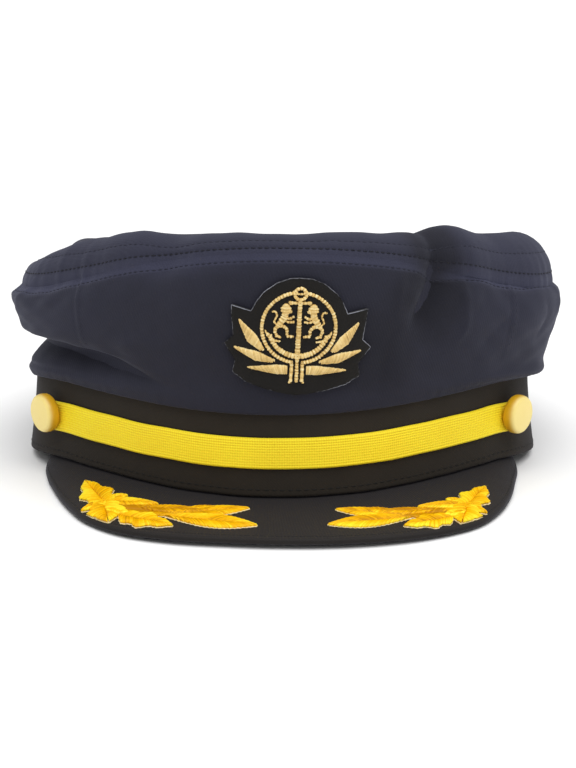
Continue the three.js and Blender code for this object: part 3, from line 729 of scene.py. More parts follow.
class Threads:
    """Many small closed bodies gathered into one mesh, with a tone for each."""

    def __init__(self):
        self.points, self.faces, self.tones, self.count = [], [], [], 0

    def add(self, rings, tones):
        """Rings of points along a body, capped at both ends. tones has a number for each point."""
        long, around = rings.shape[:2]
        r, c = [x.ravel() for x in np.indices((long - 1, around))]
        here, there, nxt = r * around, (r + 1) * around, (c + 1) % around
        quads = np.stack([here + c, here + nxt, there + nxt, there + c], -1)
        self.faces += (quads + self.count).tolist()
        self.faces.append((np.arange(around)[::-1] + self.count).tolist())
        self.faces.append((np.arange(around) + (long - 1) * around + self.count).tolist())
        self.points.append(rings.reshape(-1, 3))
        self.tones.append(np.broadcast_to(tones, (long, around)).ravel())
        self.count += long * around

    def object(self, name):
        mesh = bpy.data.meshes.new(name)
        mesh.from_pydata(np.concatenate(self.points), [], self.faces)
        give_tone(mesh, np.concatenate(self.tones))
        body = bmesh.new()
        body.from_mesh(mesh)
        bmesh.ops.recalc_face_normals(body, faces=body.faces)
        body.to_mesh(mesh)
        body.free()
        return link(mesh, name)


STITCH_RINGS = 7
STITCH_SIDES = 6


def sew(threads, starts, ends, normals, stitch):
    """Lays one stitch from each start to its end, bowed up out of the cloth between them."""
    radius = stitch.radius * MM
    t = np.linspace(0, 1, STITCH_RINGS)[None, :, None]
    arc = np.sin(np.pi * (0.06 + 0.88 * t))
    spine = starts[:, None] + (ends - starts)[:, None] * t
    spine = spine + normals[:, None] * (radius * (0.9 * arc - 0.2) - stitch.sunk * MM)
    along = unit(ends - starts)
    side = np.cross(along, normals)
    turns = np.linspace(0, 2 * np.pi, STITCH_SIDES, endpoint=False)
    ring = normals[:, None, None] * np.sin(turns)[:, None]
    ring = ring + side[:, None, None] * np.cos(turns)[:, None]
    bodies = spine[:, :, None] + ring * (radius * np.sqrt(arc))[:, :, None]
    for body in bodies:
        threads.add(body, stitch.tone)


def sew_line(threads, surface, us, vs, stitch):
    """A row of stitches along a line on a surface, given by many pairs of u and v."""
    us, vs = np.broadcast_arrays(us, vs)
    line = surface(us, vs)
    run = np.concatenate([[0], np.cumsum(np.linalg.norm(np.diff(line, axis=0), axis=-1))])
    count = int(run[-1] / (stitch.pitch * MM))
    begin = np.arange(count) * (run[-1] / count)

    def at(distance):
        return np.interp(distance, run, us), np.interp(distance, run, vs)
    starts, ends = surface(*at(begin)), surface(*at(begin + stitch.long * MM))
    normals = normal_of(surface, *at(begin + stitch.long * MM / 2), step=0.004)
    sew(threads, starts, ends, normals, stitch)


# Shader maths

class Wire:
    """A shader socket. An expression on it adds the Math nodes that it needs."""

    def __init__(self, finish, socket):
        self.finish, self.socket = finish, socket

    def maths(self, operation, *values):
        sockets = dict(enumerate(values))
        return self.finish.node("ShaderNodeMath", {"operation": operation}, sockets)

    def __add__(self, other):
        return self.maths("ADD", self, other)

    def __sub__(self, other):
        return self.maths("SUBTRACT", self, other)

    def __rsub__(self, other):
        return self.maths("SUBTRACT", other, self)

    def __mul__(self, other):
        return self.maths("MULTIPLY", self, other)

    __radd__ = __add__
    __rmul__ = __mul__

    def sine(self):
        return self.maths("SINE", self)

    def clamped(self):
        return self.maths("MINIMUM", self.maths("MAXIMUM", self, 0.0), 1.0)


class Finish:
    """A material on one Principled shader."""

    def __init__(self, name, constants):
        self.material = bpy.data.materials.new(name)
        self.material.use_nodes = True
        self.nodes = self.material.node_tree.nodes
        self.links = self.material.node_tree.links
        self.shader = self.nodes["Principled BSDF"]
        for socket, value in constants.items():
            self.shader.inputs[socket].default_value = value

    def node(self, kind, settings=None, sockets=None, output=0):
        """Adds a node: its settings first, then a value or a wire for each socket."""
        node = self.nodes.new(kind)
        for name, value in (settings or {}).items():
            setattr(node, name, value)
        for name, value in (sockets or {}).items():
            if isinstance(value, Wire):
                self.links.new(value.socket, node.inputs[name])
            else:
                node.inputs[name].default_value = value
        return Wire(self, node.outputs[output])

    def wire(self, socket, value):
        self.links.new(value.socket, self.shader.inputs[socket])

    def tone(self):
        """The number that each point of a mesh carries."""
        return self.node("ShaderNodeAttribute", {"attribute_name": "tone"}, output="Fac")

    def cloth_place(self):
        """How far a point is along and up its cloth, in metres."""
        uv = self.node("ShaderNodeUVMap", {"uv_map": "cloth"})
        along = self.node("ShaderNodeSeparateXYZ", sockets={"Vector": uv}, output="X")
        up = Wire(self, along.socket.node.outputs["Y"])
        return along, up

    def noise(self, scale, detail=2.0):
        """Grain round about 0.5, fixed in the frame."""
        where = self.node("ShaderNodeTexCoord", output="Object")
        return self.node(
            "ShaderNodeTexNoise",
            sockets={"Vector": where, "Scale": scale, "Detail": detail, "Roughness": 0.6},
        )

    def mix(self, factor, first, second):
        """One colour for 0 and another for 1."""
        ends = [(*end, 1) if isinstance(end, tuple) else end for end in (first, second)]
        return self.node(
            "ShaderNodeMix",
            {"data_type": "RGBA"},
            {"Factor": factor, 6: ends[0], 7: ends[1]},
            output=2,
        )

    def bump(self, height, distance, strength):
        sockets = {"Height": height, "Distance": distance, "Strength": strength}
        return self.node("ShaderNodeBump", sockets=sockets)

    def on(self, thing):
        thing.data.materials.clear()
        thing.data.materials.append(self.material)


def shade(colour_value, factor):
    return tuple(channel * factor for channel in colour_value)


def woven(name, tint, pitch, rough=0.86, sheen=0.12, relief=0.06 * MM, mottle=0.4, lit_tint=None):
    """Cotton: a fine weave, lint and an uneven dye. Given a lit tint, each point's tone paints
    light on it: lighter where a painted highlight falls, and painted shade in its creases.
    """
    finish = Finish(name, {
        "Specular IOR Level": 0.22,
        "Sheen Weight": sheen,
        "Sheen Roughness": 0.45,
        "Sheen Tint": (0.75, 0.78, 1.0, 1),
    })
    along, up = finish.cloth_place()
    turn = 2 * math.pi / pitch
    warp = (along * turn).sine()
    weft = (up * turn).sine()
    weave = ((along + up) * (turn * 0.5)).sine() * 0.6 + warp * weft * 0.4
    lint = finish.noise(1900)
    slub = finish.noise(240, 3.0)
    cloud = finish.noise(34, 3.0)
    height = weave * 0.5 + lint * 1.1 + slub * 0.7
    finish.wire("Normal", finish.bump(height, relief, 0.8))
    tone = (cloud - 0.5) * mottle + (slub - 0.5) * 0.35 + (lint - 0.5) * 0.5 + weave * 0.06 + 0.5
    tint = tuple(tint)
    skin = finish.mix(tone.clamped(), shade(tint, 0.62), shade(tint, 1.4))
    # Painted light: towards the lit tint where the tone is above 0, and painted shade where it is
    # below 0.
    if lit_tint is not None:
        painted_light = finish.tone()
        painted_lit = finish.mix(tone.clamped(), shade(lit_tint, 0.7), shade(lit_tint, 1.3))
        skin = finish.mix(painted_light.clamped(), skin, painted_lit)
        skin = finish.mix((0 - painted_light).clamped(), skin, shade(tint, 0.45))
    finish.wire("Base Color", skin)
    finish.wire("Roughness", (slub - 0.5) * 0.15 + rough)
    return finish


def sewing_thread(name, dark, light):
    finish = Finish(name, {"Roughness": 0.6, "Specular IOR Level": 0.3})
    tone = finish.tone()
    finish.wire("Base Color", finish.mix(tone, tuple(dark), tuple(light)))
    return finish


CREAM_TONE = 2.0  # of the cream threads, where all others are below 1.5


def floss(name, light, deep, glint, cream, cloudy=0.3, shine=0.12):
    """Embroidery thread. The tone of each thread says how light it is, from deep to glint: the deep
    colour is painted shade and the glint a painted highlight.
    """
    finish = Finish(name, {"Specular IOR Level": shine, "Anisotropic": 0.4})
    tone = finish.tone()
    fibre = finish.noise(1500)
    cloud = finish.noise(420)
    value = tone + (fibre - 0.5) * 0.4 + (cloud - 0.5) * cloudy
    skin = finish.mix((value * 1.6).clamped(), tuple(deep), tuple(light))
    skin = finish.mix(((value - 0.62) * 2.2).clamped(), skin, tuple(glint))
    skin = finish.mix(((tone - (CREAM_TONE - 0.3)) * 8).clamped(), skin, tuple(cream))
    finish.wire("Base Color", skin)
    finish.wire("Roughness", (fibre - 0.5) * 0.2 + 0.42)
    finish.wire("Normal", finish.bump(fibre, 0.05 * MM, 0.5))
    return finish


# Pieces

def made(context):
    return HatForm(context.scene.hat_sizes), context.scene.hat_sizes, context.scene.hat_colours


# How many points the meshes have round the hat or along a piece
CROWN_COLUMNS = 560
BAND_COLUMNS = 480
VISOR_COLUMNS = 260
STRAP_COLUMNS = 360
BUTTON_COLUMNS = 96
SEWN_POINTS = 721  # along a line that stitches follow round the hat


def dress(piece, finish, node=None):
    """Gives a piece its finish, and puts it in place of a solid."""
    finish.on(piece)
    if node:
        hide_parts(node)


def all_round(columns):
    return np.linspace(-np.pi, np.pi, columns, endpoint=False)


class HAT_OT_crown(bpy.types.Operator):
    """Makes the crown's wall and top from navy cloth, with their seams and stitches"""

    bl_idname = "hat.crown"
    bl_label = "Crown"

    def execute(self, context):
        form, s, colours = made(context)
        angles = all_round(CROWN_COLUMNS)
        height = form.seam_height(0.0) - form.hem_height(0.0)
        seam = SEAM_GAP / 2 / height
        hem = s.crown_wall / 2 / height
        spots = [row.level for row in CROWN_ROWS]
        # Each point's tone is the painted light on the navy cloth.
        rows, tones = sheet_rows(
            form.crown, form.crown_lining, angles, dense(hem, 1 - seam, 0.0105, spots),
            dense(hem, 1 - seam, 0.08), form.painted_light,
        )
        wall = grid_object("crown_wall_cloth", rows, tones=tones)
        # The top's edge is round up to this level, and its rows lie further apart from there on
        flat = 1.3
        levels = np.concatenate([dense(1 + seam, flat, 0.012, spots), np.linspace(1.32, 2, 36)])
        inside = np.concatenate([dense(1 + seam, flat, 0.05), np.linspace(1.4, 2, 8)])
        rows, tones = sheet_rows(
            form.crown, form.crown_lining, angles, levels, inside, form.painted_light, round_last=False
        )
        for middle in (len(levels) - 1, len(levels)):
            rows[middle] = rows[middle].mean(axis=0)
        top = grid_object(
            "crown_top_cloth", rows, skip=[len(levels) - 1], merge=True, tones=tones, level=True
        )
        cloth = woven("navy cotton", colours.navy, 0.55 * MM, lit_tint=tuple(colours.navy_lit))
        dress(wall, cloth, "crown_wall")
        dress(top, cloth, "crown_top")
        threads = Threads()
        around = np.linspace(-np.pi, np.pi, SEWN_POINTS)
        for row in CROWN_ROWS:
            sew_line(threads, form.crown, around, row.level, row.stitch)
        for seam in PANEL_SEAMS:
            place = math.radians(seam + PANEL_STITCH_ASIDE)
            sew_line(
                threads, form.crown, place, np.linspace(*PANEL_STITCH_LEVELS, 60), PANEL_STITCH
            )
        stitches = threads.object("crown_stitches")
        # The stitches' tone runs from the darkened thread, painted shade in their holes, to the lit
        # navy.
        thread = sewing_thread("navy thread", colours.navy_thread_shaded, colours.navy_lit)
        dress(stitches, thread)
        return {"FINISHED"}


class HAT_OT_band(bpy.types.Operator):
    """Makes the band that goes round the head"""

    bl_idname = "hat.band"
    bl_label = "Band"

    def execute(self, context):
        form, s, colours = made(context)
        angles = all_round(BAND_COLUMNS)
        edge = s.band_wall / 2 / (s.band_show + s.band_tuck)
        rows, _ = sheet_rows(
            form.band(0), form.band(s.band_wall), angles,
            np.linspace(edge, 1 - edge, 46), np.linspace(edge, 1 - edge, 12),
        )
        band = grid_object("band_cloth", rows)
        cloth = woven("black cotton", colours.black, 0.5 * MM, sheen=0.06)
        dress(band, cloth, "band")
        threads = Threads()
        around = np.linspace(-np.pi, np.pi, SEWN_POINTS)
        low = BAND_STITCH_HEIGHT / (s.band_show + s.band_tuck)
        sew_line(threads, form.band(0), around, low, BAND_STITCH)
        stitches = threads.object("band_stitches")
        thread = sewing_thread("black thread", colours.black_thread, colours.black)
        dress(stitches, thread)
        return {"FINISHED"}


class HAT_OT_visor(bpy.types.Operator):
    """Makes the short stiff visor and the stitches along its edge"""

    bl_idname = "hat.visor"
    bl_label = "Visor"

    def execute(self, context):
        form, s, colours = made(context)

        def under(along, across):
            place = form.visor_top(along, across)
            return place - np.array([0, 0, s.visor_wall])
        alongs = np.linspace(1, -1, VISOR_COLUMNS)
        rim = s.visor_wall / 2 / s.visor_reach
        acrosses = np.concatenate([np.linspace(0, 0.86, 26), np.linspace(0.875, 1 - rim, 16)])
        rows, _ = sheet_rows(form.visor_top, under, alongs, acrosses, np.linspace(0, 1 - rim, 14))
        visor = grid_object("visor_cover", rows, closed=False, capped=True)
        cloth = woven("visor cotton", colours.visor, 0.5 * MM, rough=0.72, sheen=0.1)
        dress(visor, cloth, "visor")
        threads = Threads()
        along = np.linspace(0.985, -0.985, 500)
        sew_line(threads, form.visor_top, along, VISOR_STITCH_ACROSS, VISOR_STITCH)
        stitches = threads.object("visor_stitches")
        thread = sewing_thread("visor thread", colours.black_thread, colours.visor)
        dress(stitches, thread)
        return {"FINISHED"}


STRAP_CORDS = 11
CORD_HIGH = 0.14 * MM
STRAP_EDGE = 0.03  # share of the ribbon's width between its edge and the first cord
CORDS_WIDE = 1 - 2 * STRAP_EDGE


class HAT_OT_strap(bpy.types.Operator):
    """Makes the corded yellow ribbon that runs from button to button"""

    bl_idname = "hat.strap"
    bl_label = "Strap"

    def execute(self, context):
        form, s, colours = made(context)
        end = s.button_angle + s.button_size / 4 / form.half_width
        angles = np.linspace(-end, end, STRAP_COLUMNS)

        def shares(count):
            return np.linspace(STRAP_EDGE, 1 - STRAP_EDGE, count)

        def face(angle, share_up):
            cords = np.abs(np.sin(np.pi * STRAP_CORDS * (share_up - STRAP_EDGE) / CORDS_WIDE))
            place = form.strap(s.strap_thick - CORD_HIGH)(angle, share_up)
            out = place - form.strap(0)(angle, share_up)
            return place + unit(out) * (CORD_HIGH * cords)[..., None]
        rows, _ = sheet_rows(face, form.strap(0), angles, shares(STRAP_CORDS * 6 + 1), shares(8))
        strap = grid_object("strap_ribbon", rows, closed=False, capped=True)
        finish = Finish("yellow ribbon", {"Specular IOR Level": 0.2})
        along, up = finish.cloth_place()
        cord_turn = 2 * math.pi * STRAP_CORDS / (CORDS_WIDE * s.strap_width)
        pick = (along * (2 * math.pi / (0.86 * MM))).sine()
        cord = (up * cord_turn - math.pi / 2).sine()
        lint = finish.noise(1600)
        cloud = finish.noise(60)
        # The cord and pick waves paint shade into the gaps between the cords and between the picks;
        # lint and cloud are an uneven dye.
        tone = 0.66 + cord * 0.2 + pick * 0.16 + (lint - 0.5) * 0.4 + (cloud - 0.5) * 0.3
        finish.wire(
            "Base Color",
            finish.mix(tone.clamped(), tuple(colours.yellow_shaded), tuple(colours.yellow)),
        )
        finish.wire("Roughness", 0.5 + (lint - 0.5) * 0.2)
        finish.wire("Normal", finish.bump(pick * 0.5 + lint, 0.06 * MM, 0.8))
        dress(strap, finish, "strap")
        return {"FINISHED"}


ButtonRow = namedtuple("ButtonRow", "out up")
BUTTON_PROFILE = [
    ButtonRow(0, 0), ButtonRow(0.5, 0), ButtonRow(0.86, 0.0), ButtonRow(0.93, 0.03),
    ButtonRow(0.97, 0.12), ButtonRow(0.995, 0.28), ButtonRow(1, 0.45), ButtonRow(0.992, 0.6),
    ButtonRow(0.965, 0.74), ButtonRow(0.92, 0.85), ButtonRow(0.86, 0.915), ButtonRow(0.8, 0.935),
    ButtonRow(0.74, 0.94), ButtonRow(0.6, 0.958), ButtonRow(0.4, 0.98), ButtonRow(0.2, 0.995),
    ButtonRow(0, 1),
]


class HAT_OT_buttons(bpy.types.Operator):
    """Makes the two covered buttons that hold the strap"""

    bl_idname = "hat.buttons"
    bl_label = "Buttons"

    def execute(self, context):
        form, s, colours = made(context)
        finish = Finish("button cover", {
            "Specular IOR Level": 0.5, "Coat Roughness": 0.25, "Coat Weight": 0.15,
        })
        tone = finish.tone()
        grain = finish.noise(900)
        cloud = finish.noise(220)
        value = tone + (grain - 0.5) * 0.18 + (cloud - 0.5) * 0.2
        finish.wire(
            "Base Color",
            finish.mix(value.clamped(), tuple(colours.butter_deep), tuple(colours.butter)),
        )
        finish.wire("Roughness", 0.42 + (grain - 0.5) * 0.2)
        finish.wire("Normal", finish.bump(grain, 0.03 * MM, 0.5))
        turns = np.linspace(0, 2 * np.pi, BUTTON_COLUMNS, endpoint=False)
        profile = np.array(BUTTON_PROFILE)
        for side in ("left", "right"):
            low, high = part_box(f"button_{side}")
            angle = s.button_angle * (-1 if side == "left" else 1)
            foot = form.around(angle, 0.0, 0.0)
            outwards = form.around(angle, 1.0, 0.0) - foot
            upright = np.array([0, 0, 1.0])
            sideways = np.cross(upright, outwards)
            middle = (np.array(low) + np.array(high)) / 2
            seat = middle - outwards * s.button_thick / 2
            radius = profile[:, 0, None] * s.button_size / 2
            lift = profile[:, 1, None] * s.button_thick
            ring = radius[..., None] * (
                np.cos(turns)[:, None] * sideways + np.sin(turns)[:, None] * upright
            )
            points = seat + ring + lift[..., None] * outwards
            button = grid_object(f"button_cover_{side}", points, looped=False, merge=True)
            places = np.array([vertex.co for vertex in button.data.vertices])
            give_tone(button.data, smooth((places - seat) @ outwards / s.button_thick, 0.5, 0.92))
            dress(button, finish, f"button_{side}")
        return {"FINISHED"}


# Sewn figures

class Drape:
    """Lays a flat drawing on a piece, seen along one direction."""

    def __init__(self, piece, origin, across, up, towards):
        self.tree = BVHTree.FromObject(piece, bpy.context.evaluated_depsgraph_get())
        self.origin, self.across, self.up, self.towards = origin, across, up, towards

    def __call__(self, x, y, height):
        x, y, height = [a.astype(float) for a in np.broadcast_arrays(x, y, height)]
        starts = self.origin + x[..., None] * self.across + y[..., None] * self.up
        starts = starts - 0.5 * self.towards
        places = np.zeros(starts.shape)
        for index in np.ndindex(x.shape):
            hit, normal, _, _ = self.tree.ray_cast(starts[index], self.towards)
            if hit is None:
                raise RuntimeError(f"the point {x[index]:.4f}, {y[index]:.4f} misses its cloth")
            places[index] = np.array(hit) + height[index] * np.array(normal)
        return places


def line_length(points):
    return np.linalg.norm(np.diff(np.array(points, float), axis=0), axis=-1).sum()


THREAD_PITCH = 0.36 * MM
BEAD = 1.05 * MM  # from one thick place of a satin line to the next
FRAY = 0.06 * MM  # how unevenly the threads end
SEWN_DOWN = 0.25 * MM  # how far the underside of a figure is sunk in its cloth
LOW_CREST = 0.82  # height of every second thread, as a share of the others
ACROSS = np.array([0, 0.06, 0.18, 0.34, 0.5, 0.66, 0.82, 0.94, 1])


def satin(
    threads, place, first, last, base, rise, tone, rng, uneven=0.16, swell=1.0, rim=0.0, slope=0.0
):
    """Threads laid side by side from line first to line last, a pair of columns for each.

    swell is how far each column rises, as a share of rise. rim is how much lighter both of its
    ends are, and slope how much lighter it is at its last end than at its first.
    """
    columns = len(first)
    along = unit(last - first)
    fray = np.repeat(rng.normal(0, FRAY, (2, columns // 2 + 1, 1)), 2, axis=1)[:, :columns]
    first, last = first + along * fray[0], last + along * fray[1]
    crest = np.where(np.arange(columns) % 2 == 1, 1.0, LOW_CREST)
    wide = np.linalg.norm(last - first, axis=-1)
    full = np.minimum(1, wide / (1.6 * rise + 1e-9)) ** 0.5 * swell
    dome = (4 * ACROSS * (1 - ACROSS)) ** 0.5
    q = np.concatenate([ACROSS, [1, 0]])
    profile = np.concatenate([dome, [0, 0]])
    height = base + rise * (full * crest)[:, None] * profile
    height[:, len(ACROSS):] = base - SEWN_DOWN
    flat = first[:, None] + (last - first)[:, None] * q[:, None]
    rings = place(flat[..., 0], flat[..., 1], height)
    shift = np.repeat(rng.normal(0, uneven, columns // 2 + 1), 2)[:columns]
    border = rim * np.abs(2 * q - 1) ** 6 + slope * (q - 0.5)
    shade_of_crest = 0.9 * (crest - (1 + LOW_CREST) / 2)
    threads.add(rings, (tone + shift + shade_of_crest)[:, None] + border)


def columns_for(distance):
    return 2 * max(2, round(distance / THREAD_PITCH)) + 1


def stroke(threads, place, row, scale, base, rise, rng, closed=False):
    """A satin line of given width through a few points. A bead is a place where it is thick."""
    points = np.array(row.line, float) * scale
    count = columns_for(line_length(points))
    path = curve_through(points, count, closed)
    if closed:
        path = np.concatenate([path, path[:1]])
        count += 1
    along = unit(np.gradient(path, axis=0))
    across = np.stack([-along[:, 1], along[:, 0]], -1)
    share_along = np.linspace(0, 1, count)
    wide = row.start + (row.end - row.start) * share_along
    if row.bulge:
        wide = wide + row.bulge * np.sin(np.pi * share_along)
    beads = 1 + 0.5 * (np.abs(np.sin(np.pi * share_along * line_length(path) / BEAD)) - 0.6)
    wide = wide * (1 + 0.35 * (beads - 1))
    if not closed:
        wide = wide * np.minimum(1, np.minimum(np.arange(count), np.arange(count)[::-1]) / 2 + 0.5)
    half = wide[:, None] * scale / 2
    # Each bead is painted lighter too: a painted highlight on its thick place.
    tone = row.tone + 0.9 * (beads - 1)
    satin(
        threads, place, path - across * half, path + across * half, base, rise, tone, rng,
        swell=beads,
    )


WAVE = 1.7 * MM  # length of the waves of a sprig leaf's border
WAVE_HIGH = 0.12 * MM


def leaf_half(share_along, belly, lobes, depth=0.3):
    """Half width of a leaf at a share of its length, as a share of its greatest."""
    bend = share_along ** (math.log(0.5) / math.log(belly))
    notch = 1 - depth * np.cos(lobes * np.pi * share_along) ** 2 if lobes else 1
    return (0.06 + 0.94 * np.sin(np.pi * bend)) * notch


def leaf_line(row, scale, side, shares, grow=0.0):
    """Points of a leaf's border on one side, or of its midrib where side is 0."""
    waves = WAVE_HIGH * np.sin(2 * np.pi * shares * row.length * scale / WAVE) * (shares < 0.94)
    half = leaf_half(shares, row.belly, row.lobes) * row.width / 2 * scale + grow + waves
    local = np.stack([shares * row.length * scale, side * half], -1)
    turn = math.radians(row.turn)
    spin = np.array([[math.cos(turn), math.sin(turn)], [-math.sin(turn), math.cos(turn)]])
    return local @ spin + np.array([row.x, row.y]) * scale


# The badge, drawn in shares of its ring's radius, from the ring's centre
PATCH_HALF = [
    (0, 1.33), (0.3, 1.31), (0.62, 1.18), (0.94, 0.93), (1.12, 0.67), (1.25, 0.39), (1.77, 0.51),
    (1.74, 0.15), (1.68, -0.32), (1.91, -0.54), (1.6, -0.98), (1.66, -1.31), (1.32, -1.55),
    (0.8, -1.71), (0.27, -1.81), (0, -1.83),
]
RING_WIDE = 0.09
STEM_ASIDE = 0.14
STEM_FOOT = -1.48


def arc(radius, start, end, count):
    turns = np.radians(np.linspace(start, end, count))
    return [(radius * math.sin(t), -radius * math.cos(t)) for t in turns]


Stroke = namedtuple("Stroke", "name line start end bulge tone", defaults=(0, 0.62))
ANCHOR_HALF = [
    Stroke("ring", arc(1 - RING_WIDE / 2, 9, 176, 22), RING_WIDE, RING_WIDE),
    Stroke("stem", [(0.155, -0.93), (STEM_ASIDE, -1.0), (STEM_ASIDE, STEM_FOOT)], 0.085, 0.085),
    Stroke("foot", [(STEM_ASIDE, STEM_FOOT), (0.2, STEM_FOOT - 0.02)], 0.08, 0.05),
    Stroke("arm", arc(0.77, 0, 72, 10), 0.15, 0.1),
    Stroke("bill", [(0.7, -0.27), (0.8, -0.2), (0.87, -0.08)], 0.15, 0.02),
    Stroke("barb", [(0.76, -0.32), (0.6, -0.36), (0.45, -0.37)], 0.1, 0.04),
    Stroke("end of the stock", [(0.25, 0.73), (0.25, 0.63)], 0.09, 0.09),
    Stroke("loop over a leaf", [(0.86, -0.6), (0.92, -0.66)], 0.04, 0.03, 0, 0.8),
    Stroke("loop under a leaf", [(0.6, -0.86), (0.58, -0.95)], 0.04, 0.03, 0, 0.8),
]
ANCHOR_MIDDLE = [
    Stroke("middle stem", [(0, -0.78), (0, STEM_FOOT)], 0.085, 0.085),
    Stroke("shank", [(0, 0.76), (0, -0.7)], 0.11, 0.13),
    Stroke("stock", [(-0.25, 0.68), (0.25, 0.68)], 0.075, 0.075),
    Stroke("crown of the arms", [(0, -0.68), (0, -0.9)], 0.26, 0.06),
    Stroke("bar of the shackle", [(-0.1, 0.92), (0.1, 0.92)], 0.05, 0.05),
]
SHACKLE = Stroke("shackle", [(x, y + 0.92) for x, y in arc(0.15, 0, 330, 12)], 0.085, 0.085)

LION = [
    Stroke("mane", [(-0.36, 0.66), (-0.355, 0.5), (-0.35, 0.34)], 0.06, 0.08, 0.2),
    Stroke("muzzle", [(-0.3, 0.47), (-0.2, 0.43)], 0.15, 0.09),
    Stroke("body", [(-0.36, 0.38), (-0.4, 0.26), (-0.48, 0.13), (-0.53, 0.02)], 0.17, 0.12, 0.02),
    Stroke("upper paw", [(-0.4, 0.31), (-0.26, 0.25), (-0.13, 0.32)], 0.065, 0.06),
    Stroke("lower paw", [(-0.42, 0.22), (-0.26, 0.16), (-0.12, 0.17)], 0.065, 0.06),
    Stroke("back leg", [(-0.52, 0.06), (-0.61, -0.06), (-0.57, -0.2)], 0.1, 0.07),
    Stroke("back foot", [(-0.6, -0.21), (-0.44, -0.27)], 0.09, 0.05),
    Stroke("front leg", [(-0.5, 0.06), (-0.38, 0.03), (-0.3, -0.06), (-0.3, -0.2)], 0.1, 0.07),
    Stroke("front foot", [(-0.31, -0.22), (-0.12, -0.235)], 0.08, 0.055),
    Stroke(
        "tail", [(-0.54, 0.04), (-0.64, 0.16), (-0.58, 0.31), (-0.62, 0.42), (-0.71, 0.42)],
        0.05, 0.05,
    ),
]

# A leaf with one bellied side, turn in degrees and the belly at a share of its length
BadgeLeaf = namedtuple("BadgeLeaf", "x y turn length upper lower belly blunt")
BADGE_LEAVES = [
    BadgeLeaf(0.23, -1.15, 0, 1.06, 0.12, 0.13, 0.25, 0.85),
    BadgeLeaf(0.6, -0.92, 16.5, 1.1, 0.09, 0.16, 0.42, 0.3),
    BadgeLeaf(0.9, -0.62, 50, 1.02, 0.09, 0.19, 0.4, 0.35),
]


def mirrored(rows, sign):
    return [row._replace(line=[(x * sign, y) for x, y in row.line]) for row in rows]


def flipped(leaf, sign):
    return leaf if sign > 0 else leaf._replace(x=-leaf.x, turn=180 - leaf.turn)


def badge_leaf_line(leaf, scale, side, shares):
    """Border of a badge leaf: side is 1 for its upper side, and -1 for its bellied one."""
    rising = leaf.blunt + (1 - leaf.blunt) * np.minimum(1, shares / leaf.belly) ** 0.85
    falling = np.maximum(0, (1 - shares) / (1 - leaf.belly)) ** 0.8
    half = (leaf.upper if side > 0 else leaf.lower) * np.where(shares < leaf.belly, rising, falling)
    turn = math.radians(leaf.turn)
    along = np.array([math.cos(turn), math.sin(turn)])
    over = np.array([-math.sin(turn), math.cos(turn)]) * side
    line = np.outer(shares * leaf.length, along) + np.outer(half + 0.01, over)
    return (line + np.array([leaf.x, leaf.y])) * scale


